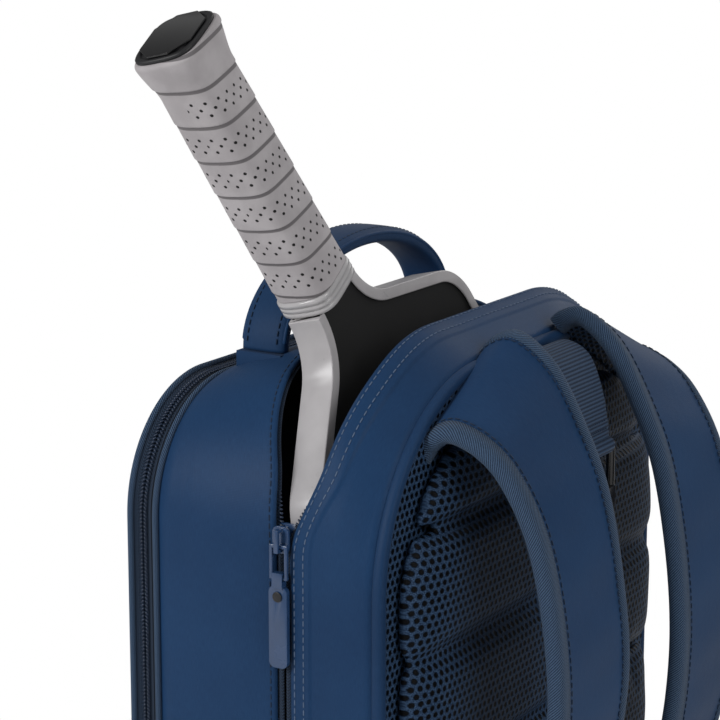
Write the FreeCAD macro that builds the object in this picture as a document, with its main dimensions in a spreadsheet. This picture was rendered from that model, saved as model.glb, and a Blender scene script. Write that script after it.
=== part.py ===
"""Racket backpack with a leaning paddle, modelled in millimetres.

Frame: origin at the middle of the base, +Z up. The front pockets face -Y and the
padded back panel with the shoulder straps faces +Y.
"""
import FreeCAD, Part
import math
import os
import Sketcher
from FreeCAD import Placement, Rotation, Vector

doc = FreeCAD.newDocument("racket_backpack")

# ---------------------------------------------------------------- driving sizes
SIZES = {
    # bag body
    "body_width": 286.0,
    "front_height": 440.0,
    "front_radius": 62.0,
    "zip_height": 466.0,
    "zip_radius": 92.0,
    "hem_height": 470.0,
    "back_height": 452.0,
    "back_radius": 98.0,
    "front_y": -60.0,
    "zip_y": 14.0,
    "hem_y": 38.0,
    "back_y": 64.0,
    "shell_wall": 2.5,
    "base_thickness": 4.0,
    # open mouth between the two main sliders
    "slider_z": 380.0,
    "mouth_gap": 8.0,
    "mouth_rise": 30.0,
    "mouth_front_low": 7.0,
    "mouth_back_low": 31.0,
    "mouth_front_y": -13.0,
    # back panel
    "board_thickness": 2.0,
    "board_gap": 2.0,
    "pad_half_width": 136.0,
    "pad_height": 434.0,
    "pad_base": 16.0,
    "pad_thickness": 15.5,
    "channel_top": 388.0,
    "channel_pitch": 62.0,
    "channel_width": 4.0,
    # front compartment and pocket
    "compartment_depth": 12.0,
    "panel_thickness": 2.0,
    "gusset_wall": 2.5,
    "pocket_half_width": 116.0,
    "pocket_height": 404.0,
    "pocket_radius": 60.0,
    "pocket_base": 26.0,
    "pocket_depth": 14.0,
    "pocket_wall": 2.0,
    # zippers
    "tooth_width": 2.4,
    "tooth_gap": 1.6,
    "tape_clearance": 0.1,
    "tape_width": 7.0,
    "tape_thickness": 1.2,
    "slider_clearance": 0.3,
    "main_zip_low": 200.0,
    "front_slider_z": 330.0,
    "pocket_zip_x": 62.0,
    "pocket_zip_low": 130.0,
    "pocket_zip_high": 352.0,
    # carry handle
    "handle_reach": 84.0,
    "handle_rise": 50.0,
    "handle_width": 26.0,
    "handle_thickness": 9.0,
    "handle_y": -37.0,
    "handle_base": -0.1486486,  # feet over the crown line at the handle's back edge
    # shoulder straps
    "strap_width": 76.0,
    "strap_thickness": 9.0,
    "strap_offset": 67.0,
    "webbing_width": 25.0,
    "webbing_thickness": 1.6,
    "hanger_width": 38.0,
    # side pockets
    "bottle_depth": 27.0,
    "bottle_half_length": 44.0,
    "bottle_height": 156.0,
    "bottle_wall": 2.0,
    "bottle_corner": 18.0,
    # racket sleeve
    "sleeve_half_width": 112.0,
    "sleeve_front_y": 27.0,
    "sleeve_floor": 249.0,
    "sleeve_height": 52.0,
    "sleeve_wall": 2.5,
    # paddle
    "paddle_neck_x": 88.0,
    "paddle_neck_y": 0.0,
    "paddle_neck_z": 0.1085771,  # the head's lowest point over the sleeve's floor
    "paddle_lean_side": 30.0,
    "paddle_lean_front": 13.0,
    "paddle_half_width": 98.0,
    "paddle_head": 245.0,
    "paddle_neck_half": 21.0,
    "paddle_corner": 55.0,
    "paddle_shoulder": 82.0,
    "paddle_core_thickness": 13.0,
    "paddle_face_thickness": 1.2,
    "guard_thickness": 18.0,
    "guard_width": 6.0,
    "grip_length": 140.0,
    "grip_width": 36.0,
    "grip_depth": 31.0,
    "butt_width": 42.0,
    "butt_depth": 37.0,
}
sheet = doc.addObject("Spreadsheet::Sheet", "Sizes")
for row, (alias, value) in enumerate(SIZES.items(), start=1):
    sheet.set(f"A{row}", alias)
    sheet.set(f"B{row}", str(value))
    sheet.setAlias(f"B{row}", alias)
doc.recompute()


def size(alias):
    """A driving size, read back from the sheet."""
    return float(sheet.get(alias))


def bind(item, **expressions):
    """Bind properties of item to sheet expressions; a double underscore is a dot."""
    for name, expression in expressions.items():
        item.setExpression(name.replace("__", "."), expression)
    return item


def S(expression):
    """Write every sheet alias of an expression with the sheet's name in front."""
    for alias in sorted(SIZES, key=len, reverse=True):
        expression = expression.replace(f"[{alias}]", f"Sizes.{alias}")
    return expression


nodes = []


def node(item, name):
    """Name a finished sub-part; its Label becomes the name of its STEP file."""
    item.Label = name
    nodes.append(item)
    return item


def feature(name, shape, placement=None):
    """A sub-part whose shape comes from Part's own functions."""
    item = doc.addObject("Part::Feature", "f_" + name)
    item.Shape = shape
    item.Placement = placement or Placement()
    return node(item, name)


# ---------------------------------------------------------------- arch outlines
def arch_sketch(name, y, half_width, height, radius, base):
    """A closed arch in a plane of constant Y: flat base, two sides, two top corners."""
    sketch = doc.addObject("Sketcher::SketchObject", name)
    w, top, r, low = 100.0, 400.0, 60.0, 5.0
    corners = [Vector(-w, low, 0), Vector(w, low, 0), Vector(w, top - r, 0),
               Vector(w - r, top, 0), Vector(r - w, top, 0), Vector(-w, top - r, 0)]

    def arc(centre, start, end):
        return Part.ArcOfCircle(Part.Circle(centre, Vector(0, 0, 1), r), start, end)

    sketch.addGeometry([
        Part.LineSegment(corners[0], corners[1]),
        Part.LineSegment(corners[1], corners[2]),
        arc(Vector(w - r, top - r, 0), 0, math.pi / 2),
        Part.LineSegment(corners[3], corners[4]),
        arc(Vector(r - w, top - r, 0), math.pi / 2, math.pi),
        Part.LineSegment(corners[5], corners[0]),
    ], False)
    rules = [("Coincident", 0, 2, 1, 1), ("Coincident", 5, 2, 0, 1),
             ("Tangent", 1, 2, 2, 1), ("Tangent", 2, 2, 3, 1),
             ("Tangent", 3, 2, 4, 1), ("Tangent", 4, 2, 5, 1),
             ("Horizontal", 3), ("Vertical", 1), ("Vertical", 5), ("Equal", 2, 4),
             ("Symmetric", 0, 1, 0, 2, -2)]
    sketch.addConstraint([Sketcher.Constraint(*rule) for rule in rules])
    driven = [("width", Sketcher.Constraint("DistanceX", 0, 1, 0, 2, 2 * w), f"2 * ({half_width})"),
              ("radius", Sketcher.Constraint("Radius", 2, r), radius),
              ("height", Sketcher.Constraint("DistanceY", -1, 1, 3, 1, top), height),
              ("base", Sketcher.Constraint("DistanceY", -1, 1, 0, 1, low), base)]
    for label, constraint, expression in driven:
        index = sketch.addConstraint(constraint)
        sketch.renameConstraint(index, label)
        sketch.setExpression(f"Constraints.{label}", S(expression))
    sketch.Placement = Placement(Vector(0, 0, 0), Rotation(Vector(1, 0, 0), 90))
    sketch.setExpression("Placement.Base.y", S(y))
    return sketch


def arch_solid(name, stations, inset="0", base="[base_thickness]"):
    """A solid through arch outlines; stations are (y, height, radius) expressions."""
    half = f"[body_width] / 2 - {inset}"
    loft = doc.addObject("Part::Loft", name)
    loft.Sections = [arch_sketch(f"{name}_s{i}", y, half, f"{top} - {inset}", f"{radius} - {inset}", base)
                     for i, (y, top, radius) in enumerate(stations)]
    loft.Solid = True
    loft.Ruled = True
    return loft


def cut(name, base, tool):
    """Base minus tool, as a document object."""
    item = doc.addObject("Part::Cut", name)
    item.Base = base
    item.Tool = tool
    return item


def fuse(name, *shapes):
    """Several document objects joined into one."""
    item = doc.addObject("Part::MultiFuse", name)
    item.Shapes = list(shapes)
    return item


def box(name, length, width, height, x, y, z):
    """A box bound to sheet expressions, placed by its lowest corner."""
    item = doc.addObject("Part::Box", name)
    return bind(item, Length=S(length), Width=S(width), Height=S(height), Placement__Base__x=S(x),
                Placement__Base__y=S(y), Placement__Base__z=S(z))


def arch_ring(name, stations, inset, wall):
    """An arch band of the given wall, open at its foot."""
    outer = arch_solid(name + "_outer", stations, inset)
    reach = [(f"{stations[0][0]} - 1", *stations[0][1:])] + stations[1:-1]
    reach.append((f"{stations[-1][0]} + 1", *stations[-1][1:]))
    inner = arch_solid(name + "_inner", reach, f"({inset} + {wall})", "[base_thickness] / 2")
    return cut(name, outer, inner)


# ---------------------------------------------------------------- bag body
front_end = ("[front_y]", "[front_height]", "[front_radius]")
zip_line = ("[zip_y]", "[zip_height]", "[zip_radius]")
hem = ("[hem_y]", "[hem_height]", "[zip_radius]")
back_end = ("[back_y]", "[back_height]", "[back_radius]")


def prism_yz(points, half_length):
    """A solid of a closed outline in the YZ plane, centred on X."""
    wire = Part.makePolygon([Vector(-half_length, y, z) for y, z in points + points[:1]])
    return Part.Face(wire).extrude(Vector(2 * half_length, 0, 0))


def mouth_cutter():
    """The slot of the main zipper and, above the sliders, the wedge between its hems."""
    low = size("slider_z")
    mid = low + size("mouth_rise")
    crown = size("hem_height") + 20
    front = size("zip_y") - size("mouth_gap") / 2
    back = size("zip_y") + size("mouth_gap") / 2
    foot = size("main_zip_low")
    outline = [(front, foot), (front, low), (size("mouth_front_low"), mid),
               (size("mouth_front_y"), size("zip_height") - 6), (size("mouth_front_y"), crown),
               (size("hem_y"), crown), (size("hem_y"), size("zip_height") - 10),
               (size("mouth_back_low"), mid), (back, low), (back, foot)]
    item = doc.addObject("Part::Feature", "mouth_wedge")
    item.Shape = prism_yz(outline, size("body_width") / 2 + 10)
    return item


wedge = mouth_cutter()
front_band = arch_ring("front_band", [front_end, zip_line], "0", "[shell_wall]")
back_band = arch_ring("back_band", [zip_line, hem, back_end], "0", "[shell_wall]")
node(cut("front_shell_cut", front_band, wedge), "front_shell")
node(cut("rear_shell_cut", back_band, wedge), "rear_shell")

panel_y = "([front_y] - [panel_thickness])"
face_y = f"({panel_y} - [compartment_depth])"
board_y = "([back_y] + [board_gap])"


def arch_plate(name, y, thickness, top, radius, inset="0", base="[base_thickness]"):
    """A flat arch plate standing on the base, from y to y + thickness."""
    return arch_solid(name, [(y, top, radius), (f"{y} + {thickness}", top, radius)], inset, base)


node(box("base", "[body_width]", f"[back_y] + [board_gap] + [board_thickness] - {face_y} + [panel_thickness]",
         "[base_thickness]", "-[body_width] / 2", f"{face_y} - [panel_thickness]", "0"), "base_panel")
node(arch_plate("divider", panel_y, "[panel_thickness]", "[front_height]", "[front_radius]"),
     "front_divider")
node(arch_plate("board", board_y, "[board_thickness]", "[back_height]", "[back_radius]", "1"), "back_board")
node(arch_ring("seam_band", [("[back_y]", "[back_height]", "[back_radius]"),
                             (board_y, "[back_height]", "[back_radius]")], "0", "[shell_wall]"),
     "back_seam_binding")


def back_pads():
    """Mesh-covered foam cushions, one between each two sewn channels."""
    blank = arch_solid("pad_blank", [
        (f"{board_y} + [board_thickness] + 0.3", "[pad_height]", "[back_radius]"),
        (f"{board_y} + [board_thickness] + 0.3 + [pad_thickness]", "[pad_height]", "[back_radius]"),
    ], "([body_width] / 2 - [pad_half_width])", "[pad_base]")
    for sketch in blank.Sections:
        sketch.setExpression("Constraints.height", S("[pad_height]"))
    count = int((size("channel_top") - size("pad_base") - 20) // size("channel_pitch")) + 1
    grooves = [box(f"channel_{i}", "[body_width]", "[pad_thickness] + 4", "[channel_width]",
                   "-[body_width] / 2", f"{board_y} + [board_thickness] - 1",
                   f"[channel_top] - {i} * [channel_pitch] - [channel_width] / 2") for i in range(count)]
    return cut("pads_cut", blank, fuse("channels", *grooves))


node(back_pads(), "back_pads")


def racket_sleeve():
    """A tray hung on the back board that holds the paddle's lower edge."""
    wall, depth = "[sleeve_wall]", f"({board_y} - [sleeve_front_y])"
    outer = box("sleeve_outer", "2 * [sleeve_half_width]", depth, f"[sleeve_height] + {wall}",
                "-[sleeve_half_width]", "[sleeve_front_y]", f"[sleeve_floor] - {wall}")
    inner = box("sleeve_inner", f"2 * ([sleeve_half_width] - {wall})", depth, "[sleeve_height] + 5",
                f"{wall} - [sleeve_half_width]", f"[sleeve_front_y] + {wall}", "[sleeve_floor]")
    return cut("sleeve_cut", outer, inner)


node(racket_sleeve(), "racket_sleeve")

# ---------------------------------------------------------------- front compartment
# The gusset is two bands with the zipper's two rows of teeth between them.
row_reach = "([tooth_gap] / 2 + [tooth_width])"
front_zip_y = f"({panel_y} - [compartment_depth] / 2)"


def ring_pair(name, near, far, inset, wall):
    """Two matching arch bands, one each side of the front zipper's middle line."""
    top, radius = "[front_height]", "[front_radius]"
    bands = []
    for side, (start, end) in {"a": (f"{front_zip_y} - {far}", f"{front_zip_y} - {near}"),
                               "b": (f"{front_zip_y} + {near}", f"{front_zip_y} + {far}")}.items():
        bands.append(arch_ring(f"{name}_{side}", [(start, top, radius), (end, top, radius)], inset, wall))
    pair = doc.addObject("Part::Compound", name)
    pair.Links = bands
    return pair


node(ring_pair("gusset", row_reach, "([compartment_depth] / 2)", "0", "[gusset_wall]"), "front_gusset")
node(ring_pair("front_teeth", "([tooth_gap] / 2)", row_reach, "0", "([shell_wall] + [tape_clearance])"), "front_zip_teeth")
node(arch_plate("front_face", f"({face_y} - [panel_thickness])", "[panel_thickness]", "[front_height]",
                "[front_radius]"), "front_panel")


def front_pocket():
    """A raised pocket on the front panel, open at its back, with a slit for its zipper."""
    back = f"({face_y} - [panel_thickness])"
    front = f"({back} - [pocket_depth])"

    def blank(name, start, end, inset):
        loft = doc.addObject("Part::Loft", name)
        loft.Sections = [arch_sketch(f"{name}_s{i}", y, f"[pocket_half_width] - {inset}",
                                     f"[pocket_height] - {inset}", f"[pocket_radius] - {inset}",
                                     f"[pocket_base] + {inset}") for i, y in enumerate((start, end))]
        loft.Solid = True
        loft.Ruled = True
        return loft

    outer = blank("pocket_outer", front, back, "0")
    inner = blank("pocket_inner", f"{front} + [pocket_wall]", f"{back} + 1", "[pocket_wall]")
    slit = box("pocket_slit", f"2 * {row_reach}", "[pocket_wall] + 2",
               "[pocket_zip_high] - [pocket_zip_low]", f"[pocket_zip_x] - {row_reach}", f"{front} - 1",
               "[pocket_zip_low]")
    return cut("pocket_cut", cut("pocket_shell", outer, inner), slit)


node(front_pocket(), "front_pocket")


# ---------------------------------------------------------------- zippers
TOOTH_DEPTH = size("shell_wall") + size("tape_clearance")


def straight_teeth(name, length, placement):
    """Two rows of teeth on their tapes; local X points out of the fabric, Z runs along."""
    near = size("tooth_gap") / 2
    rows = []
    for side in (-1, 1):
        tooth = Part.makeBox(TOOTH_DEPTH, size("tooth_width"), length,
                             Vector(-TOOTH_DEPTH, near, 0))
        tape = Part.makeBox(size("tape_thickness"), size("tape_width"), length,
                            Vector(-TOOTH_DEPTH - size("tape_thickness"), near, 0))
        row = tooth.fuse(tape).removeSplitter()
        rows.append(row if side == 1 else row.mirror(Vector(), Vector(0, 1, 0)))
    return feature(name, Part.makeCompound(rows), placement)


SLIDER_LENGTH, SLIDER_WIDTH, WING = 13.0, 9.0, 1.8
LINK_WIDTH, LINK_WIRE = 10.0, 1.8
TAB_LENGTH, TAB_WIDTH, TAB_THICKNESS = 40.0, 10.0, 2.6
PIN_X, LINK_PIN_Z, TAB_PIN_Z = 3.4, -2.7, -18.0


def centred_box(x0, x1, half_y, z0, z1):
    """A box from x0 to x1 and z0 to z1, centred on Y."""
    return Part.makeBox(x1 - x0, 2 * half_y, z1 - z0, Vector(x0, -half_y, z0))


def slider_shape(with_inner_wing):
    """Outer wing with the bail on it, and the post and inner wing behind the tapes."""
    gap = size("slider_clearance")
    half = SLIDER_LENGTH / 2
    outer = centred_box(gap, gap + WING, SLIDER_WIDTH / 2, -half, half)
    outer = outer.makeFillet(3.0, [e for e in outer.Edges if abs(e.tangentAt(e.FirstParameter).x) > 0.9])
    bail = centred_box(gap + WING, 6.2, 1.2, -5.6, 5.6).cut(centred_box(gap, 4.7, 3, -4.0, 4.0))
    shape = outer.fuse(bail)
    if with_inner_wing:
        back = -TOOTH_DEPTH - size("tape_thickness") - gap
        shape = shape.fuse(centred_box(back, gap, size("tooth_gap") / 2 - gap, 1.0, 5.0))
        shape = shape.fuse(centred_box(back - 1.6, back, SLIDER_WIDTH / 2, -half, half))
    return shape.removeSplitter()


def link_shape():
    """A flat oblong ring, its upper bar inside the bail."""
    half = LINK_WIRE / 2
    top = LINK_PIN_Z + half
    low = TAB_PIN_Z - half
    ring = centred_box(PIN_X - half, PIN_X + half, LINK_WIDTH / 2, low, top)
    window = centred_box(PIN_X - 2, PIN_X + 2, LINK_WIDTH / 2 - LINK_WIRE, low + LINK_WIRE, top - LINK_WIRE)
    return ring.cut(window)


def tab_shape():
    """A moulded pull tab whose eye goes round the link's lower bar."""
    half = TAB_THICKNESS / 2
    neck = centred_box(PIN_X - 2.0, PIN_X + 2.0, 2.8, TAB_PIN_Z - 5, TAB_PIN_Z + 2.6)
    plate = centred_box(PIN_X - half, PIN_X + half, TAB_WIDTH / 2, TAB_PIN_Z - 4 - TAB_LENGTH, TAB_PIN_Z - 4)
    plate = plate.makeFillet(3.0, [e for e in plate.Edges if abs(e.tangentAt(e.FirstParameter).x) > 0.9])
    eye = centred_box(PIN_X - 1.35, PIN_X + 1.35, 3, TAB_PIN_Z - 1.35, TAB_PIN_Z + 1.35)
    hole = Part.makeCylinder(1.8, 8, Vector(PIN_X - 4, 0, TAB_PIN_Z - 9), Vector(1, 0, 0))
    return neck.fuse(plate).cut(eye).cut(hole).removeSplitter()


def rivet_shape():
    """A shank with a head each side of the tab."""
    z = TAB_PIN_Z - 9
    shank = Part.makeCylinder(1.5, TAB_THICKNESS + 0.6, Vector(PIN_X - TAB_THICKNESS / 2 - 0.3, 0, z),
                              Vector(1, 0, 0))
    for start in (PIN_X + TAB_THICKNESS / 2 + 0.1, PIN_X - TAB_THICKNESS / 2 - 0.8):
        shank = shank.fuse(Part.makeCylinder(2.5, 0.7, Vector(start, 0, z), Vector(1, 0, 0)))
    return shank


def zip_puller(prefix, placement, with_inner_wing=True):
    """Slider, link, tab and rivet as four sub-parts at one place."""
    feature(prefix + "_slider", slider_shape(with_inner_wing), placement)
    feature(prefix + "_pull_link", link_shape(), placement)
    feature(prefix + "_pull_tab", tab_shape(), placement)
    feature(prefix + "_tab_rivet", rivet_shape(), placement)


def side_place(sign, y, z):
    """Local X pointing out of the right (+1) or left (-1) side of the bag."""
    turn = 0 if sign > 0 else 180
    return Placement(Vector(sign * size("body_width") / 2, y, z), Rotation(Vector(0, 0, 1), turn))


teeth_length = size("slider_z") - SLIDER_LENGTH / 2 + 3 - size("main_zip_low")
for side, sign in {"right": 1, "left": -1}.items():
    straight_teeth(f"main_zip_teeth_{side}", teeth_length, side_place(sign, size("zip_y"), size("main_zip_low")))
    zip_puller(f"main_{side}", side_place(sign, size("zip_y"), size("slider_z")))
front_mid_y = size("front_y") - size("panel_thickness") - size("compartment_depth") / 2
zip_puller("front", side_place(-1, front_mid_y, size("front_slider_z")), with_inner_wing=False)
pocket_face_y = (size("front_y") - 2 * size("panel_thickness") - size("compartment_depth")
                 - size("pocket_depth"))
facing_front = Rotation(Vector(0, 0, 1), -90)
straight_teeth("pocket_zip_teeth", size("pocket_zip_high") - size("pocket_zip_low"),
               Placement(Vector(size("pocket_zip_x"), pocket_face_y, size("pocket_zip_low")), facing_front))
zip_puller("pocket", Placement(Vector(size("pocket_zip_x"), pocket_face_y, size("pocket_zip_high") - 8),
                               facing_front))


# ---------------------------------------------------------------- bands and straps
def band(stations, thickness):
    """A ruled solid through flat sections; stations are (middle, across) vectors.

    Each section is square to the path and its width runs along across.
    """
    wires = []
    for i, (middle, across) in enumerate(stations):
        before, after = stations[max(i - 1, 0)][0], stations[min(i + 1, len(stations) - 1)][0]
        normal = across.cross(after - before).normalize() * (thickness / 2)
        half = across * 0.5
        ring = [middle - half + normal, middle + half + normal, middle + half - normal,
                middle - half - normal]
        wires.append(Part.makePolygon(ring + ring[:1]))
    return Part.makeLoft(wires, True, True)


def level_band(x, path, width, thickness):
    """A band at one X whose path is a list of (y, z) and whose width runs along X."""
    return band([(Vector(x, y, z), Vector(width, 0, 0)) for y, z in path], thickness)


STRAP_END = (104.0, 180.0)
STRAP_END_SHIFT = 12.0
LOCK_ANGLE = 26.6
LOCK_HALF, LOCK_THICKNESS, LOCK_BAR, LOCK_SLOT = 12.0, 4.0, 4.0, 5.0
LOOP_Y = LOCK_THICKNESS / 2 + 0.1 + size("webbing_thickness") / 2


def lock_place(sign):
    """Where a ladder lock sits: in line with the end of the padded strap."""
    lean_back = Rotation(Vector(1, 0, 0), -LOCK_ANGLE)
    end = Vector(sign * (size("strap_offset") + STRAP_END_SHIFT), *STRAP_END)
    return Placement(end + lean_back.multVec(Vector(0, 0, -LOCK_HALF - 0.2)), lean_back)


def shoulder_strap(sign):
    """The padded strap, from the top seam out over the shoulder, with a loop at its end."""
    path = [(69.2, 443, 0, 1.0, 20), (80, 446, 0, 1.0, 18), (96, 437, 0, 1.0, 14), (110, 419, 0, 1.0, 8),
            (124, 390, 0, 1.0, 4), (133, 350, 0, 1.0, 0), (137, 308, 0, 1.0, 0), (134, 268, 2, 0.96, 0),
            (126, 232, 5, 0.88, 0), (115, 202, 9, 0.76, 0), (*STRAP_END, STRAP_END_SHIFT, 0.6, 0)]
    wide = size("strap_width")
    pad = band([(Vector(sign * (size("strap_offset") + shift), y, z),
                 Vector(sign * wide * part, 0, -droop)) for y, z, shift, part, droop in path],
               size("strap_thickness"))
    top = LOCK_HALF - LOCK_BAR
    loop = level_band(0, [(-LOOP_Y, LOCK_HALF + 2), (-LOOP_Y, top), (-2.8, top - 1), (-1.6, top - 1.9),
                          (1.6, top - 1.9), (2.8, top - 1), (LOOP_Y, top), (LOOP_Y, LOCK_HALF + 2)],
                      size("webbing_width"), size("webbing_thickness"))
    loop.Placement = lock_place(sign)
    return pad.fuse(loop).removeSplitter()


def ladder_lock(sign):
    """A moulded frame with a slot under its top bar and one over its bottom bar."""
    width = size("webbing_width") + 8
    frame = Part.makeBox(width, LOCK_THICKNESS, 2 * LOCK_HALF,
                         Vector(-width / 2, -LOCK_THICKNESS / 2, -LOCK_HALF))
    slot = size("webbing_width") + 1
    for z in (LOCK_BAR - LOCK_HALF, LOCK_HALF - LOCK_BAR - LOCK_SLOT):
        frame = frame.cut(Part.makeBox(slot, 2 * LOCK_THICKNESS, LOCK_SLOT, Vector(-slot / 2, -LOCK_THICKNESS, z)))
    return frame, lock_place(sign)


def lower_webbing(sign):
    """Webbing over the lock's bottom bar, then turned edge-on down to the corner tab."""
    place, width, low = lock_place(sign), size("webbing_width"), LOCK_BAR - LOCK_HALF
    local = [(LOOP_Y, low - 16), (LOOP_Y, low), (2.8, low + 1), (1.6, low + 1.9), (-1.6, low + 1.9),
             (-2.8, low + 1), (-LOOP_Y, low), (-LOOP_Y, low - 8)]
    stations = [(place.multVec(Vector(0, y, z)), Vector(width, 0, 0)) for y, z in local]
    half = size("body_width") / 2
    turns = [(-53, 92, 134, 1.0, 0.1), (-37, 95, 110, 0.9, 0.4), (-19, 99, 88, 0.76, 0.65),
             (0, 98, 68, 0.2, 0.97), (2.9, 84, 50, 0.0, 1.0), (2.9, 72, 38, 0.0, 1.0)]
    for out, y, z, along_x, along_y in turns:
        stations.append((Vector(sign * (half + out), y, z), Vector(width * along_x, sign * width * along_y, 0)))
    return band(stations, size("webbing_thickness"))


def strap_anchor(sign):
    """A fabric tab sewn to the lower side of the rear shell, reaching back past the pads."""
    x = size("body_width") / 2 + 0.2
    outline = [(46, 22), (63.5, 22), (84, 36), (84, 48), (64, 48), (46, 36)]
    return prism_yz(outline, 0.8), Placement(Vector(sign * (x + 0.8), 0, 0), Rotation())


for side, sign in {"right": 1, "left": -1}.items():
    feature(f"shoulder_strap_{side}", shoulder_strap(sign))
    feature(f"ladder_lock_{side}", *ladder_lock(sign))
    feature(f"strap_webbing_{side}", lower_webbing(sign))
    feature(f"strap_anchor_{side}", *strap_anchor(sign))

# Hanging webbing in the middle, with a sewn loop that the fence hook's bar turns in.
HOOK_PIN = Vector(0, 102.5, 402.0)
LOOP_RADIUS, BAR_RADIUS = 4.4, 2.2


def hook_webbing():
    """The folded webbing and its loop."""
    strip = level_band(0, [(68.8, 448), (80, 452), (91, 446), (98, 430), (102.3, 405.5)],
                       size("hanger_width"), 2.4)
    loop_start = Vector(-size("hanger_width") / 2, HOOK_PIN.y, HOOK_PIN.z)
    loop = Part.makeCylinder(LOOP_RADIUS, size("hanger_width"), loop_start, Vector(1, 0, 0))
    bore = Part.makeCylinder(BAR_RADIUS + 0.3, size("hanger_width") + 2, loop_start - Vector(1, 0, 0),
                             Vector(1, 0, 0))
    return strip.fuse(loop).cut(bore).removeSplitter()


def fence_hook():
    """A wire frame that turns in the loop, with a tongue bent outwards at its foot."""
    half, drop, wire = size("hanger_width") / 2 + 3, 34.0, BAR_RADIUS
    bar = Part.makeCylinder(wire, 2 * half, Vector(-half, 0, 0), Vector(1, 0, 0))
    foot = Part.makeCylinder(wire, 2 * half, Vector(-half, 0, -drop), Vector(1, 0, 0))
    shape = bar.fuse(foot)
    for x in (-half, half):
        shape = shape.fuse(Part.makeSphere(wire, Vector(x, 0, 0))).fuse(Part.makeSphere(wire, Vector(x, 0, -drop)))
        shape = shape.fuse(Part.makeCylinder(wire, drop, Vector(x, 0, -drop), Vector(0, 0, 1)))
    tongue = Part.makeBox(14, 9, 2.4, Vector(-7, 0, -drop - 1.2))
    lip = Part.makeBox(14, 2.4, 18, Vector(-7, 7.8, -drop - 1.2))
    return shape.fuse(tongue).fuse(lip).removeSplitter()


feature("hook_webbing", hook_webbing())
feature("fence_hook", fence_hook(), Placement(HOOK_PIN, Rotation()))


# ---------------------------------------------------------------- carry handle
def handle_foot():
    """Height of the handle's feet, from the crown of the front shell at their back edge."""
    share = (size("handle_y") + size("handle_width") / 2 - size("front_y")) / (size("zip_y") - size("front_y"))
    return size("front_height") + (size("zip_height") - size("front_height")) * share + size("handle_base")


def handle_arch():
    """A soft band bent into a half ellipse, standing across the top of the front shell."""
    reach, rise, thick = size("handle_reach"), size("handle_rise"), size("handle_thickness")
    width, base, y = size("handle_width"), handle_foot(), size("handle_y")

    outer = Part.Ellipse(Vector(0, 0, 0), reach, rise)
    inner = Part.Ellipse(Vector(0, 0, 0), reach - thick, rise - thick)
    arch = [Part.ArcOfEllipse(outer, 0, math.pi).toShape(), Part.ArcOfEllipse(inner, 0, math.pi).toShape()]
    feet = [Part.makeLine(Vector(s * (reach - thick), 0, 0), Vector(s * reach, 0, 0)) for s in (1, -1)]
    face = Part.Face(Part.Wire([arch[0], feet[1], arch[1], feet[0]]))
    return face.extrude(Vector(0, 0, width)), Placement(Vector(0, y + width / 2, base), Rotation(Vector(1, 0, 0), 90))


def handle_anchor(sign):
    """The sewn patch under one end of the handle, a block between it and the shell."""
    reach, thick, width = size("handle_reach"), size("handle_thickness"), size("handle_width")
    top, deep = handle_foot() - 0.3, 120.0
    block = Part.makeBox(thick + 4, width, deep, Vector(sign * (reach - thick / 2) - thick / 2 - 2,
                                                        size("handle_y") - width / 2, top - deep))
    filled = Part.makeLoft([arch_wire(size("front_y") + 0.0, "front_height", "front_radius"),
                            arch_wire(size("zip_y"), "zip_height", "zip_radius")],
                           True, True)
    return max(block.cut(filled).Solids, key=lambda solid: solid.BoundBox.ZMax)


def arch_wire(y, top, radius):
    """The same arch outline as the sketches give, as a wire at one Y, 0.2 mm larger."""
    gap = 0.2
    w, r, h = size("body_width") / 2 + gap, size(radius) + gap, size(top) + gap
    reach = r * math.sqrt(0.5)
    foot, knee, brow = Vector(w, y, 0), Vector(w, y, h - r), Vector(w - r, y, h)
    bend = Vector(w - r + reach, y, h - r + reach)
    foot2, knee2, brow2, bend2 = (Vector(-v.x, v.y, v.z) for v in (foot, knee, brow, bend))
    return Part.Wire([Part.makeLine(foot2, foot), Part.makeLine(foot, knee),
                      Part.Arc(knee, bend, brow).toShape(), Part.makeLine(brow, brow2),
                      Part.Arc(brow2, bend2, knee2).toShape(), Part.makeLine(knee2, foot2)])


feature("carry_handle", *handle_arch())
feature("handle_anchor_right", handle_anchor(1))
feature("handle_anchor_left", handle_anchor(-1))


# ---------------------------------------------------------------- bottle pockets
def bottle_pocket(side, sign):
    """An open-topped pocket on the side of the bag, with rounded outer corners."""
    wall, gap = "[bottle_wall]", 0.2
    start = f"[body_width] / 2 + {gap}"

    def rounded(name, inset, low, lift):
        block = box(name + "_block", f"[bottle_depth] - {inset}", f"2 * ([bottle_half_length] - {inset})",
                    f"[bottle_height] + {lift}", start if inset == "0" else f"{start} + {wall}",
                    f"{inset} - [bottle_half_length]", low)
        if inset != "0":
            bind(block, Length=S(f"[bottle_depth] - 2 * {wall}"))
        doc.recompute()
        outer_x = max(v.X for v in block.Shape.Vertexes)
        edges = [i for i, e in enumerate(block.Shape.Edges, start=1)
                 if all(abs(v.X - outer_x) < 1e-6 for v in e.Vertexes)
                 and abs(e.Vertexes[0].Z - e.Vertexes[1].Z) > 1]
        radius = size("bottle_corner") - (size("bottle_wall") if inset != "0" else 0)
        fillet = doc.addObject("Part::Fillet", name)
        fillet.Base = block
        fillet.Edges = [(i, radius, radius) for i in edges]
        return fillet

    outer = rounded(f"bottle_outer_{side}", "0", "[base_thickness] + 2", "0")
    inner = rounded(f"bottle_inner_{side}", wall, f"[base_thickness] + 2 + {wall}", "10")
    shell = cut(f"bottle_{side}", outer, inner)
    if sign < 0:
        mirrored = doc.addObject("Part::Mirroring", f"bottle_mirror_{side}")
        mirrored.Source = shell
        mirrored.Normal = Vector(1, 0, 0)
        return mirrored
    return shell


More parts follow.
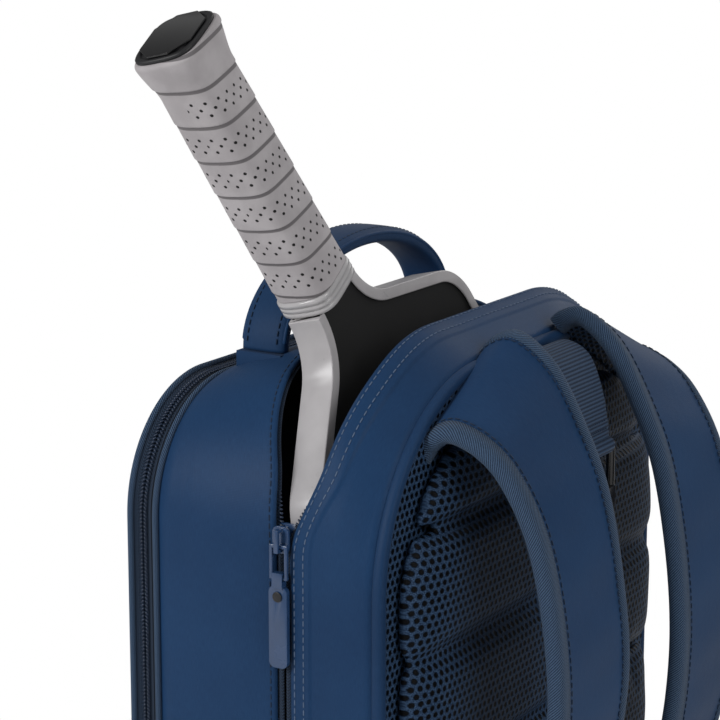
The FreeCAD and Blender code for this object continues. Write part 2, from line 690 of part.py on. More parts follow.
node(bottle_pocket("right", 1), "side_pocket_right")
node(bottle_pocket("left", -1), "side_pocket_left")


# ---------------------------------------------------------------- paddle
# Local frame: X across the face, Y through it, +Z towards the butt, origin at the neck.
lean = Rotation(Vector(1, 0, 0), size("paddle_lean_front")).multiply(
    Rotation(Vector(0, 1, 0), size("paddle_lean_side")))
down = [lean.multVec(axis).z for axis in (Vector(1, 0, 0), Vector(0, 1, 0), Vector(0, 0, 1))]
corner_x = size("paddle_half_width") - size("paddle_corner")
corner_z = size("paddle_head") - size("paddle_corner")
paddle_reach = (-down[0] * corner_x + down[2] * corner_z + size("paddle_corner") * math.hypot(down[0], down[2])
                + abs(down[1]) * size("guard_thickness") / 2)
paddle_place = Placement(Vector(size("paddle_neck_x"), size("paddle_neck_y"),
                                size("sleeve_floor") + paddle_reach + size("paddle_neck_z")), lean)


def paddle_blank(inset, thickness, shift=0.0, above=0.0):
    """The head as a plate, its outline drawn inwards by inset, the neck reaching above.

    Each shoulder is an arc, a straight slope and an arc, so an inset keeps one distance.
    """
    neck, wide, fall = size("paddle_neck_half"), size("paddle_half_width"), size("paddle_shoulder")
    foot, corner = -size("paddle_head"), size("paddle_corner")
    turn = math.radians(60)
    out = wide - neck
    bend = ((out * math.cos(turn) - fall * math.sin(turn))
            / (2 * (math.cos(turn) * (1 - math.cos(turn)) - math.sin(turn) ** 2)))
    y = shift - thickness / 2

    def around(x, z, radius, *angles):
        return [Vector(x + radius * math.cos(a), y, z + radius * math.sin(a)) for a in angles]

    right = around(neck + bend, 0, bend + inset, math.pi, math.pi + turn / 2, math.pi + turn)
    right += around(wide - bend, -fall, bend - inset, turn, turn / 2, 0)
    right += around(wide - corner, foot + corner, corner - inset, 0, -math.pi / 4, -math.pi / 2)
    left = [Vector(-v.x, v.y, v.z) for v in reversed(right)]

    def flank(p):
        return [Part.Arc(*p[0:3]).toShape(), Part.makeLine(p[2], p[3]), Part.Arc(*p[3:6]).toShape(),
                Part.makeLine(p[5], p[6]), Part.Arc(*p[6:9]).toShape()]

    edges = flank(right) + [Part.makeLine(right[8], left[0])] + flank(left)
    if above:
        rise = Vector(0, 0, above)
        edges.append(Part.makeLine(left[8], left[8] + rise))
        edges.append(Part.makeLine(left[8] + rise, right[0] + rise))
        edges.append(Part.makeLine(right[0] + rise, right[0]))
    else:
        edges.append(Part.makeLine(left[8], right[0]))
    return Part.Face(Part.Wire(edges)).extrude(Vector(0, thickness, 0))


def rounded_section(width, depth, z):
    """A rectangle with large chamfers, as a bevelled grip has, at one height."""
    a, b = width / 2, depth / 2
    c = 0.3 * depth
    points = [(a, b - c), (a - c, b), (c - a, b), (-a, b - c), (-a, c - b), (c - a, -b), (a - c, -b), (a, c - b)]
    return Part.makePolygon([Vector(x, y, z) for x, y in points + points[:1]])


def grip_tube(inner_width, inner_depth, low, high):
    """The bevelled grip, flaring at the butt, with the handle's core bored out."""
    wide, deep = size("grip_width"), size("grip_depth")
    flare = Part.makeLoft([rounded_section(wide, deep, low), rounded_section(wide, deep, high - 22),
                           rounded_section(size("butt_width"), size("butt_depth"), high - 6),
                           rounded_section(size("butt_width"), size("butt_depth"), high)], True, True)
    return flare.cut(Part.makeBox(inner_width, inner_depth, high - low + 2,
                                  Vector(-inner_width / 2, -inner_depth / 2, low - 1)))


core_width, core_depth = 26.0, size("paddle_core_thickness")
collar_height, fit = 9.0, 0.1
handle_top = collar_height + size("grip_length")
channel_inset = size("guard_width") / 2
core = paddle_blank(channel_inset, size("paddle_core_thickness"))
core = core.fuse(Part.makeBox(core_width, core_depth, handle_top + 2,
                              Vector(-core_width / 2, -core_depth / 2, -2))).removeSplitter()
feature("paddle_core", core, paddle_place)

face_gap = size("paddle_core_thickness") / 2
for side, shift in {"front": -face_gap - size("paddle_face_thickness") / 2,
                    "back": face_gap + size("paddle_face_thickness") / 2}.items():
    feature(f"paddle_face_{side}", paddle_blank(channel_inset, size("paddle_face_thickness"), shift),
            paddle_place)

laminate = size("paddle_core_thickness") + 2 * size("paddle_face_thickness")
guard = paddle_blank(0, size("guard_thickness"))
guard = guard.cut(paddle_blank(size("guard_width"), size("guard_thickness") + 2, above=5))
guard = guard.cut(paddle_blank(channel_inset - fit, laminate + 2 * fit, above=5))
feature("paddle_edge_guard", guard, paddle_place)

collar = Part.makeLoft([rounded_section(size("grip_width") + 2, size("grip_depth"), fit),
                        rounded_section(size("grip_width") + 2, size("grip_depth") + 1, collar_height)], True, True)
collar = collar.cut(Part.makeBox(core_width + 2 * fit, core_depth + 2 * fit, 40,
                                 Vector(-core_width / 2 - fit, -core_depth / 2 - fit, -5)))
feature("paddle_collar", collar, paddle_place)
feature("paddle_grip", grip_tube(core_width + 2 * fit, core_depth + 2 * fit, collar_height, handle_top), paddle_place)
cap_section = [rounded_section(size("butt_width") - 1, size("butt_depth") - 1, handle_top + 2 * k) for k in (0, 1)]
cap = Part.makeLoft(cap_section, True, True)
cap = cap.cut(Part.makeBox(core_width + 2 * fit, core_depth + 2 * fit, 8,
                           Vector(-core_width / 2 - fit, -core_depth / 2 - fit, handle_top - 4)))
feature("paddle_butt_cap", cap, paddle_place)
insert = Part.makeLoft([rounded_section(size("butt_width") - 8, size("butt_depth") - 8, handle_top + z)
                        for z in (2.0, 3.0)], True, True)
feature("paddle_butt_insert", insert, paddle_place)

# ---------------------------------------------------------------- checks and export
doc.recompute()
os.makedirs("parts", exist_ok=True)
faults = [item.Name for item in doc.Objects if "Invalid" in item.State or "Error" in item.State]
for item in nodes:
    if item.Shape.isNull() or not item.Shape.isValid() or not item.Shape.Solids:
        faults.append(item.Label)
if faults:
    raise RuntimeError("failed objects: " + ", ".join(faults))
for item in nodes:
    item.Shape.exportStep(f"parts/{item.Label}.step")
    bounds = item.Shape.BoundBox
    print(f"{item.Label:24s} {len(item.Shape.Solids)} solids  {item.Shape.Volume / 1000:9.2f} cm3"
          f"  z {bounds.ZMin:7.1f} to {bounds.ZMax:7.1f}")
print(len(nodes), "sub-parts")
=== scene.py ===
# %% [markdown]
# # A racket backpack with a paddle in it
# The imported model is the fixed frame: every piece below takes its place from it, and all
# but the handle's pieces ride on one of its bodies. Everything is in metres, +Z is up, the
# back panel faces +Y.

# %% Load the frame
import math

import bmesh
import bpy
import numpy as np
from mathutils import Matrix, Vector


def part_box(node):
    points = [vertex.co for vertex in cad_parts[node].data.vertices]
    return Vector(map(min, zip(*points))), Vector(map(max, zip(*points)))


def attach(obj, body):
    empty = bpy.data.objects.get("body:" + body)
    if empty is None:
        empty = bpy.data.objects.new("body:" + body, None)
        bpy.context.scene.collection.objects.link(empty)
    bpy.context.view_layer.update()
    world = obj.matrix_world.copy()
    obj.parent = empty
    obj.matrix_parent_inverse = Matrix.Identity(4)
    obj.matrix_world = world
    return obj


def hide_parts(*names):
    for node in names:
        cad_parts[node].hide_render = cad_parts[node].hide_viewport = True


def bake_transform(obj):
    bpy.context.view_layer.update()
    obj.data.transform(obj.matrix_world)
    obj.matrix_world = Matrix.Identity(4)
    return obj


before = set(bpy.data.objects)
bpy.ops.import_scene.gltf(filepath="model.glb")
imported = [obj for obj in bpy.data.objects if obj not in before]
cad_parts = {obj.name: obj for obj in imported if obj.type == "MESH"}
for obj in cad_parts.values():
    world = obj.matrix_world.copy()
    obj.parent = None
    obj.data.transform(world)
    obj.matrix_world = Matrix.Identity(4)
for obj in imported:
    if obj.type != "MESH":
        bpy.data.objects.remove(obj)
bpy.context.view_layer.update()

mm = 0.001

# %% [markdown]
# ## Camera
# A long lens from behind the bag's right side keeps the straps and the open mouth nearly
# free of perspective. The camera stands back from one aimed point along one direction, so
# the angle and the distance are set apart from each other.

# %% Camera
AIM = Vector((0.0511, 0.0, 0.4464))
BACK_OFF = Vector((0.8321, 0.5099, 0.2182))
DISTANCE = 1.25
camera = bpy.data.objects.new("camera", bpy.data.cameras.new("camera"))
bpy.context.scene.collection.objects.link(camera)
camera.location = AIM + DISTANCE * BACK_OFF
camera.rotation_mode = "QUATERNION"
camera.rotation_quaternion = BACK_OFF.to_track_quat("Z", "Y")
camera.data.sensor_width = 36.0
camera.data.lens = 126.6
camera.data.clip_start = 0.05
bpy.context.scene.camera = camera
print("camera:", round(DISTANCE, 2), "m back, lens", round(camera.data.lens, 1), "mm")


# %% [markdown]
# ## Light
# Large soft lamps stand where a product studio has them: one over the front, one over the
# strap side, one on the far side and one above, so that coated cloth shows broad
# highlights and no hard shadows. The world is white to the camera and dim to the bag,
# which keeps the backdrop clean without washing out the navy.

# %% Light
def soft_lamp(name, place, power, side):
    """A square area lamp at place, its -Z axis aimed at the middle of the bag."""
    data = bpy.data.lights.new(name, "AREA")
    data.energy = power
    data.size = side
    lamp = bpy.data.objects.new(name, data)
    bpy.context.scene.collection.objects.link(lamp)
    lamp.location = place
    lamp.rotation_mode = "QUATERNION"
    lamp.rotation_quaternion = (Vector(place) - BAG_MIDDLE).to_track_quat("Z", "Y")


BAG_MIDDLE = Vector((0, 0, 0.35))
LAMPS = {"key_lamp": ((1.5, -0.8, 1.1), 15, 0.6), "shoulder_lamp": ((0.5, 1.6, 1.2), 8.5, 0.9),
         "far_lamp": ((-1.5, 0.2, 1.2), 4.5, 1.1), "top_lamp": ((0.1, 0.1, 2.0), 2.2, 1.2)}
for name, (place, power, side) in LAMPS.items():
    soft_lamp(name, place, power, side)
world = bpy.data.worlds.new("studio")
bpy.context.scene.world = world
world.use_nodes = True
sky = world.node_tree.nodes["Background"]
sky.inputs["Color"].default_value = (1, 1, 1, 1)
seen = world.node_tree.nodes.new("ShaderNodeLightPath")
strength = world.node_tree.nodes.new("ShaderNodeMapRange")
strength.inputs["To Min"].default_value = 0.2
strength.inputs["To Max"].default_value = 1.0
world.node_tree.links.new(seen.outputs["Is Camera Ray"], strength.inputs["Value"])
world.node_tree.links.new(strength.outputs["Result"], sky.inputs["Strength"])
bpy.context.scene.view_settings.view_transform = "Standard"
print("lamps:", len(LAMPS))


# %% [markdown]
# ## Building blocks for meshes
# Cloth, straps and mouldings are all surfaces on a grid: two numbers go in, a point comes
# out. One function turns such a grid of points into a mesh and gives it a UV map measured
# in metres along the cloth, so a weave keeps its real scale on every piece.

# %% Grid surfaces
def lengths(points, axis, closed):
    """Distance travelled along one axis of a grid, averaged over the other, in metres."""
    moved = np.diff(points, axis=axis)
    if closed:
        first, last = np.take(points, [0], axis), np.take(points, [-1], axis)
        moved = np.concatenate([moved, first - last], axis)
    steps = np.linalg.norm(moved, axis=2).mean(axis=1 - axis)
    return np.concatenate([[0.0], np.cumsum(steps)])


def new_object(name, vertices, faces, body, slot, *materials):
    """A smooth-shaded mesh with its materials, on a body, or on none."""
    mesh = bpy.data.meshes.new(name)
    mesh.from_pydata([], [], [])
    vertices = np.asarray(vertices, np.float32).reshape(-1, 3)
    faces = np.asarray(faces, np.int32)
    mesh.vertices.add(len(vertices))
    mesh.vertices.foreach_set("co", vertices.ravel())
    mesh.loops.add(faces.size)
    mesh.loops.foreach_set("vertex_index", faces.ravel())
    mesh.polygons.add(len(faces))
    mesh.polygons.foreach_set("loop_start", np.arange(len(faces), dtype=np.int32) * faces.shape[1])
    mesh.polygons.foreach_set("use_smooth", np.ones(len(faces), bool))
    mesh.update(calc_edges=True)
    mesh.validate()
    piece = bpy.data.objects.new(name, mesh)
    bpy.context.scene.collection.objects.link(piece)
    for material in materials:
        mesh.materials.append(material)
    if body:
        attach(piece, body)
    return piece


def grid_piece(name, points, body, slot, *materials, closed_u=False, closed_v=False, flip=False):
    """A mesh through a grid of points (u, v, xyz), closed on itself where asked.

    Corner (u, v) joins (u+1, v), (u+1, v+1) and (u, v+1); flip turns every face over. The
    UV map holds metres along u and along v.
    """
    rows, columns = points.shape[:2]
    across = np.arange(rows if closed_u else rows - 1)
    along = np.arange(columns if closed_v else columns - 1)
    a, b = np.meshgrid(across, along, indexing="ij")
    a2, b2 = (a + 1) % rows, (b + 1) % columns
    quads = np.stack([a * columns + b, a2 * columns + b, a2 * columns + b2, a * columns + b2], -1)
    quads = quads.reshape(-1, 4)
    us, vs = lengths(points, 0, closed_u), lengths(points, 1, closed_v)
    corners = np.stack([np.stack([us[i], vs[j]], -1) for i, j in
                        ((a, b), (a + 1, b), (a + 1, b + 1), (a, b + 1))], -2).reshape(-1, 4, 2)
    if flip:
        quads, corners = quads[:, ::-1], corners[:, ::-1]
    piece = new_object(name, points, quads, body, slot, *materials)
    layer = piece.data.uv_layers.new(name="cloth")
    layer.data.foreach_set("uv", corners.astype(np.float32).ravel())
    return piece


def thicken(piece, thickness, inner_slot=0, offset=-1.0):
    """Gives a sheet a wall behind its outer face, with a rim round its edges."""
    wall = piece.modifiers.new("wall", "SOLIDIFY")
    wall.thickness = thickness
    wall.offset = offset
    wall.material_offset = inner_slot


def smooth_path(points, count):
    """A Catmull-Rom curve through the points, evenly sampled by chord length."""
    p = np.asarray(points, float)
    ends = np.concatenate([[2 * p[0] - p[1]], p, [2 * p[-1] - p[-2]]])
    t = np.linspace(0, len(p) - 1 - 1e-9, 12 * len(p))
    k = t.astype(int)
    f = (t - k)[:, None]
    a, b, c, d = ends[k], ends[k + 1], ends[k + 2], ends[k + 3]
    curve = 0.5 * (2 * b + (c - a) * f + (2 * a - 5 * b + 4 * c - d) * f**2
                   + (3 * b - a - 3 * c + d) * f**3)
    run = np.concatenate([[0], np.cumsum(np.linalg.norm(np.diff(curve[:, :3], axis=0), axis=1))])
    at = np.linspace(0, run[-1], count)
    return np.stack([np.interp(at, run, curve[:, i]) for i in range(p.shape[1])], 1)


def sweep(path, across, profile, closed=False):
    """Carries a flat profile along a path: first number along across, second along the normal.

    across is one unit vector per path point; the normal is the path's direction crossed
    with it. Profile is (points, 2), or (path, points, 2) where it changes along the way.
    """
    path, across = np.asarray(path, float), np.asarray(across, float)
    if closed:
        run = np.roll(path, -1, 0) - np.roll(path, 1, 0)
    else:
        run = np.gradient(path, axis=0)
    normal = np.cross(run, across)
    normal /= np.linalg.norm(normal, axis=1, keepdims=True)
    profile = np.broadcast_to(profile, (len(path),) + np.shape(profile)[-2:])
    return path[:, None] + profile[..., :1] * across[:, None] + profile[..., 1:] * normal[:, None]


def ring_profile(half_width, half_depth, count, power=1.0):
    """A closed oval: cosine across and sine up, each raised to power, below 1 for boxier."""
    turn = np.linspace(0, 2 * np.pi, count, endpoint=False)
    c, s = np.cos(turn), np.sin(turn)
    return np.stack([half_width * np.sign(c) * np.abs(c) ** power,
                     half_depth * np.sign(s) * np.abs(s) ** power], 1)


def tube(name, path, radius, body, slot, material, closed=False, sides=10, across=(1, 0, 0)):
    """A round rod along a path, its ends drawn in to a point when the path is open."""
    path = np.asarray(path, float)
    frame_across = np.broadcast_to(np.asarray(across, float), path.shape).copy()
    run = np.gradient(path, axis=0)
    run /= np.linalg.norm(run, axis=1, keepdims=True)
    frame_across -= (frame_across * run).sum(1, keepdims=True) * run
    frame_across /= np.linalg.norm(frame_across, axis=1, keepdims=True)
    profile = np.repeat(ring_profile(radius, radius, sides)[None], len(path), 0)
    if not closed:
        profile[0] *= 0.02
        profile[-1] *= 0.02
    return grid_piece(name, sweep(path, frame_across, profile, closed), body, slot, material,
                      closed_u=closed, closed_v=True, flip=True)


# %% [markdown]
# Stitches and zip teeth repeat hundreds of times. One small template is copied to every
# place in a single array product, which keeps each copy at a few dozen faces.

# %% Repeated small shapes
def lozenge(length, width, height):
    """A stitch: a six-sided bead, pointed at both ends and lying along the first axis."""
    ring = ring_profile(width / 2, height / 2, 6)
    stations = np.array([[-0.5, 0.1], [-0.34, 0.9], [0.34, 0.9], [0.5, 0.1]])
    body = [[s * length, f * a, f * b] for s, f in stations for a, b in ring]
    faces = [[i * 6 + j, i * 6 + (j + 1) % 6, (i + 1) * 6 + (j + 1) % 6, (i + 1) * 6 + j]
             for i in range(3) for j in range(6)]
    faces += [[5, 4, 3, 2], [5, 2, 1, 0], [18, 19, 20, 21], [18, 21, 22, 23]]
    return np.array(body), np.array(faces)[:, ::-1]


def copies(name, template, places, axes, body, slot, material):
    """The template at every place; axes holds three unit rows per place."""
    points, faces = template
    placed = np.einsum("pi,nij->npj", points, axes) + places[:, None]
    shift = (np.arange(len(places)) * len(points))[:, None, None]
    return new_object(name, placed, (faces[None] + shift).reshape(-1, 4), body, slot, material)


def along_line(line, normal, pitch):
    """Evenly spaced places on a line, with unit rows (along, side, normal) at each."""
    run = np.concatenate([[0], np.cumsum(np.linalg.norm(np.diff(line, axis=0), axis=1))])
    at = np.arange(pitch / 2, run[-1], pitch)
    places = np.stack([np.interp(at, run, line[:, i]) for i in range(3)], 1)
    beyond, before = (np.stack([np.interp(at + step, run, line[:, i]) for i in range(3)], 1)
                      for step in (0.3 * mm, -0.3 * mm))
    ahead = beyond - before
    ahead /= np.linalg.norm(ahead, axis=1, keepdims=True)
    up = np.stack([np.interp(at, run, normal[:, i]) for i in range(3)], 1)
    side = np.cross(up, ahead)
    side /= np.linalg.norm(side, axis=1, keepdims=True)
    return places, np.stack([ahead, side, np.cross(ahead, side)], 1)


def stitch_row(name, line, normal, body, material, pitch=4.0 * mm, length=3.0 * mm,
               slot="shell_fabric"):
    """A sewn row: thread beads pressed a little into the cloth along a line."""
    places, axes = along_line(line, normal, pitch)
    return copies(name, lozenge(length, 0.75 * mm, 0.7 * mm), places + 0.1 * mm * axes[:, 2], axes,
                  body, slot, material)


print("a stitch has", len(lozenge(1, 1, 1)[1]), "faces")


# %% [markdown]
# ## Materials
# Every finish is made of nodes. Cloth reads the UV map in metres, so a rib of 1.6 mm is
# written as 1.6 mm. Values that are the same all over sit on the shader's own sockets.

# %% Node helpers
class Shader:
    """A short way to add nodes to one material and link them."""

    def __init__(self, name, colour, roughness, **sockets):
        self.material = bpy.data.materials.new(name)
        self.material.use_nodes = True
        self.tree = self.material.node_tree
        self.shader = self.tree.nodes["Principled BSDF"]
        self.shader.inputs["Base Color"].default_value = (*colour, 1)
        self.shader.inputs["Roughness"].default_value = roughness
        for socket, value in sockets.items():
            self.shader.inputs[socket.replace("_", " ")].default_value = value

    def node(self, kind, inputs=None, **settings):
        """A node with its settings; inputs maps socket name or number to a value or output."""
        made = self.tree.nodes.new("ShaderNode" + kind)
        for key, value in settings.items():
            setattr(made, key, value)
        for key, value in (inputs or {}).items():
            if isinstance(value, bpy.types.NodeSocket):
                self.tree.links.new(value, made.inputs[key])
            else:
                made.inputs[key].default_value = value
        return made

    def maths(self, operation, *values):
        """One number from one, two or three."""
        return self.node("Math", dict(enumerate(values)), operation=operation).outputs[0]

    def uv(self):
        """The place on the cloth, in metres."""
        return self.node("TexCoord").outputs["UV"]

    def place(self):
        """The place on the object, in metres."""
        return self.node("TexCoord").outputs["Object"]

    def noise(self, where, scale, detail=3.0, roughness=0.55):
        """Smooth noise of that many patches a metre."""
        return self.node("TexNoise", {"Vector": where, "Scale": scale, "Detail": detail,
                                      "Roughness": roughness}).outputs["Fac"]

    def spread(self, value, low, high):
        """A number from 0 to 1 where value goes from low to high."""
        return self.node("MapRange", {"Value": value, "From Min": low, "From Max": high},
                         interpolation_type="SMOOTHSTEP").outputs["Result"]

    def mix(self, share, first, second):
        """A colour between two."""
        made = self.node("Mix", {"Factor": share}, data_type="RGBA")
        for index, value in ((6, first), (7, second)):
            if isinstance(value, bpy.types.NodeSocket):
                self.tree.links.new(value, made.inputs[index])
            else:
                made.inputs[index].default_value = (*value, 1)
        return made.outputs[2]

    def to_hole(self, where, cell):
        """Distance to the nearest of the holes at the corners and middles of a grid of cells.

        For each of the two lattices the place is wrapped into one cell, the cell's middle
        is taken away and the length is measured flat; the smaller length counts.
        """
        reach = []
        for shift in ((0, 0, 0), cell / 2):
            moved = self.node("VectorMath", {0: where, 1: shift}, operation="ADD")
            inside = self.node("VectorMath", {0: moved.outputs[0], 1: cell, 2: (0, 0, 0)},
                               operation="WRAP")
            off = self.node("VectorMath", {0: inside.outputs[0], 1: cell / 2},
                            operation="SUBTRACT")
            flat = self.node("VectorMath", {0: off.outputs[0], 1: (1, 1, 0)},
                             operation="MULTIPLY")
            reach.append(self.node("VectorMath", {0: flat.outputs[0]},
                                   operation="LENGTH").outputs["Value"])
        return self.maths("MINIMUM", *reach)

    def set(self, socket, value):
        """Links a node's output to the shader."""
        self.tree.links.new(value, self.shader.inputs[socket])

    def bump(self, height, distance, strength=1.0):
        """Raises the surface by height times distance, on top of earlier bumps."""
        made = self.node("Bump", {"Height": height, "Distance": distance, "Strength": strength})
        if self.shader.inputs["Normal"].is_linked:
            earlier = self.shader.inputs["Normal"].links[0].from_socket
            self.tree.links.new(earlier, made.inputs["Normal"])
        self.set("Normal", made.outputs[0])


def waves(maker, value, pitch):
    """A sine from 0 to 1 that repeats every pitch of value."""
    turned = maker.maths("MULTIPLY", value, 2 * math.pi / pitch)
    return maker.maths("MULTIPLY_ADD", maker.maths("SINE", turned), 0.5, 0.5)


# %% [markdown]
# ### Coated navy cloth
# The shell is a tight weave with a soft coating: deep blue, broad dull highlights and very
# fine streaks along the yarns. The weave is a bump of two crossed waves; slow noise shifts
# the blue and the roughness so no large area is flat.

# %% Cloth
NAVY = (0.0085, 0.0380, 0.108)
NAVY_LIGHT = (0.0150, 0.0580, 0.152)


def cloth(name, deep=NAVY, light=NAVY_LIGHT, roughness=0.5, sheen=0.04, folds=0.9 * mm):
    """Coated cloth: streaked, slightly mottled, finely woven."""
    maker = Shader(name, deep, roughness, Sheen_Weight=sheen, Sheen_Roughness=0.45,
                   Specular_IOR_Level=0.15)
    where, here = maker.uv(), maker.place()
    split = maker.node("SeparateXYZ", {0: where})
    yarns = maker.node("Mapping", {"Vector": where, "Scale": (260, 3200, 1)}).outputs[0]
    streaks = maker.noise(yarns, 1.0, 2.0)
    patches = maker.noise(here, 13.0, 4.0)
    shade = maker.maths("MULTIPLY_ADD", maker.spread(streaks, 0.3, 0.7), 0.22,
                        maker.maths("MULTIPLY", patches, 0.75))
    maker.set("Base Color", maker.mix(maker.spread(shade, 0.2, 0.8), deep, light))
    maker.set("Roughness", maker.maths("MULTIPLY_ADD", patches, 0.22, roughness - 0.11))
    weave = maker.maths("MULTIPLY", *(waves(maker, split.outputs[k], 0.7 * mm) for k in (0, 1)))
    maker.bump(weave, 0.05 * mm, 0.6)
    maker.bump(streaks, 0.05 * mm, 0.5)
    draped = maker.node("Mapping", {"Vector": where, "Scale": (6, 62, 1)}).outputs[0]
    maker.bump(maker.noise(draped, 1.0, 2.5), folds, 0.55)
    maker.bump(maker.noise(here, 240.0, 3.0), 0.12 * mm, 0.45)
    return maker.material


navy_cloth = cloth("navy_cloth")
strap_cloth = cloth("strap_cloth", folds=0.25 * mm)
handle_cloth = cloth("handle_cloth", (0.0085, 0.036, 0.100), (0.0145, 0.052, 0.135), 0.55, 0.06)
lining_cloth = cloth("lining_cloth", (0.003, 0.0045, 0.008), (0.006, 0.009, 0.015), 0.8, 0.02)
print("cloths:", navy_cloth.name, strap_cloth.name, handle_cloth.name, lining_cloth.name)


# %% [markdown]
# ### Webbing, bindings and zip tape
# Webbing has ribs across its length. The binding that wraps the strap edges and the zip
# tape are twills: their ribs run slantwise, and on the tape they turn back in a
# herringbone. All three are one function of ribs, slant and turn-back width. Their colour
# follows the ribs: painted light on each crest and painted shade in each groove.

# %% Ribbed bands
def ribbed(name, deep, light, pitch, slant=0.0, turn_back=0.0, height=0.22 * mm, roughness=0.7):
    """Ribs every pitch along u, leaning by slant times v, folded back every turn_back of v; crests
    painted light, grooves painted shade.
    """
    maker = Shader(name, deep, roughness, Sheen_Weight=0.08, Sheen_Roughness=0.5,
                   Specular_IOR_Level=0.22)
    where = maker.uv()
    split = maker.node("SeparateXYZ", {0: where})
    v = split.outputs[1]
    if turn_back:
        v = maker.maths("PINGPONG", v, turn_back)
    ribs = waves(maker, maker.maths("MULTIPLY_ADD", v, slant, split.outputs[0]), pitch)
    threads = waves(maker, split.outputs[1], 0.9 * mm)
    grain = maker.noise(where, 900.0, 2.0)
    # painted light and shade: the colour is lighter on each rib's crest and darker in its groove;
    # the grain noise is the yarn's own uneven tone
    shade = maker.maths("MULTIPLY_ADD", ribs, 0.65, maker.maths("MULTIPLY", grain, 0.45))
    maker.set("Base Color", maker.mix(maker.spread(shade, 0.15, 0.95), deep, light))
    maker.bump(ribs, height)
    maker.bump(threads, height * 0.35)
    return maker.material


webbing_weave = ribbed("webbing_weave", (0.008, 0.019, 0.046), (0.050, 0.094, 0.175),
                       1.9 * mm, height=0.35 * mm)
binding_twill = ribbed("binding_twill", (0.008, 0.022, 0.056), (0.080, 0.145, 0.250),
                       1.35 * mm, slant=0.9, height=0.3 * mm)
zip_tape = ribbed("zip_tape", (0.006, 0.013, 0.030), (0.026, 0.050, 0.092), 1.5 * mm,
                  slant=1.0, turn_back=2.2 * mm)
thread_blue = ribbed("thread_blue", (0.075, 0.120, 0.205), (0.150, 0.210, 0.320),
                     0.5 * mm, height=0.05 * mm)
thread_dark = ribbed("thread_dark", (0.010, 0.022, 0.050), (0.020, 0.042, 0.085),
                     0.5 * mm, height=0.05 * mm)
print("bands and threads: 5 finishes, webbing ribs 1.9 mm apart")


# %% [markdown]
# ### Spacer mesh
# The pads are faced with an open spacer mesh: staggered round holes in blue-grey threads.
# The holes sit on two interleaved rectangular lattices, and the distance to the nearest
# centre, from either lattice, draws the hole and the thread round it. Each hole is painted
# near-black as painted shade down in the hole, and the thread darkens into it.

# %% Mesh
def spacer_mesh(name, use_uv, hole_pitch=4.3 * mm, hole=1.35 * mm):
    """Staggered holes: painted near-black inside as painted shade, threads between them raised."""
    maker = Shader(name, (0.01, 0.012, 0.02), 0.5, Sheen_Weight=0.0, Specular_IOR_Level=0.12)
    if use_uv:
        where = maker.uv()
    else:
        split = maker.node("SeparateXYZ", {0: maker.place()})
        where = maker.node("CombineXYZ", {0: split.outputs[0], 1: split.outputs[2]}).outputs[0]
    cell = Vector((hole_pitch, hole_pitch * math.sqrt(3), 1.0))
    nearest = maker.to_hole(where, cell)
    thread = maker.spread(nearest, hole * 0.72, hole * 1.25)
    fuzz = maker.noise(where, 1400.0, 2.0)
    strand = maker.mix(maker.spread(fuzz, 0.3, 0.7), (0.010, 0.024, 0.058), (0.055, 0.110, 0.210))
    # painted shade: each hole is near-black and the thread darkens towards its edge
    maker.set("Base Color", maker.mix(thread, (0.0006, 0.0009, 0.002), strand))
    maker.bump(thread, 0.9 * mm)
    maker.bump(fuzz, 0.25 * mm)
    return maker.material


mesh_on_pads = spacer_mesh("mesh_on_pads", use_uv=False)
mesh_on_straps = spacer_mesh("mesh_on_straps", use_uv=True)
print("spacer mesh:", mesh_on_pads.name, "and", mesh_on_straps.name)


# %% [markdown]
# ### Mouldings, metal and the paddle's finishes
# Painted sliders and pull tabs are glossy with a faint orange-peel. The paddle has a
# gritty black face, a satin guard, a glossy collar and a rubber cap.

# %% Hard finishes
def moulded(name, colour, roughness, grain=600.0, height=0.02 * mm, vary=0.08, **sockets):
    """Plastic or paint: even colour with a little mottling and a fine surface grain."""
    maker = Shader(name, colour, roughness, **sockets)
    here = maker.place()
    patches = maker.noise(here, 60.0, 4.0)
    light = tuple(min(1.0, c * (1 + 2.2 * vary)) for c in colour)
    dark = tuple(c * (1 - vary) for c in colour)
    maker.set("Base Color", maker.mix(maker.spread(patches, 0.25, 0.75), dark, light))
    maker.set("Roughness", maker.maths("MULTIPLY_ADD", patches, 0.14, roughness - 0.07))
    maker.bump(maker.noise(here, grain, 3.0), height)
    return maker.material


blue_gloss = moulded("blue_gloss", (0.022, 0.058, 0.145), 0.26, Coat_Weight=0.5,
                     Coat_Roughness=0.12)
black_gloss = moulded("black_gloss", (0.008, 0.008, 0.009), 0.22, Coat_Weight=0.4,
                      Coat_Roughness=0.1)
black_satin = moulded("black_satin", (0.012, 0.012, 0.013), 0.38)
teeth_plastic = moulded("teeth_plastic", (0.016, 0.030, 0.062), 0.34, height=0.01 * mm)
guard_satin = moulded("guard_satin", (0.490, 0.472, 0.482), 0.3, height=0.015 * mm, vary=0.04)
collar_gloss = moulded("collar_gloss", (0.500, 0.486, 0.494), 0.2, vary=0.04, Coat_Weight=0.5,
                       Coat_Roughness=0.1)
paddle_face = moulded("paddle_face", (0.0075, 0.0075, 0.0078), 0.62, grain=2600.0,
                      height=0.06 * mm, vary=0.15, Specular_IOR_Level=0.3)
cap_rubber = moulded("cap_rubber", (0.014, 0.014, 0.016), 0.5, grain=900.0, height=0.03 * mm)
core_foam = moulded("core_foam", (0.62, 0.61, 0.58), 0.8, grain=1500.0, height=0.05 * mm)
print("finishes so far:", len(bpy.data.materials))


# %% [markdown]
# ## The bag's two shells
# The body is one arch drawn at many depths: straight sides, round shoulders, flat crown.
# It is lowest at the front seam and highest at the zip. The point at (t, y) is found by
# adding what each of five stretches contributes, so whole grids come out in one pass.

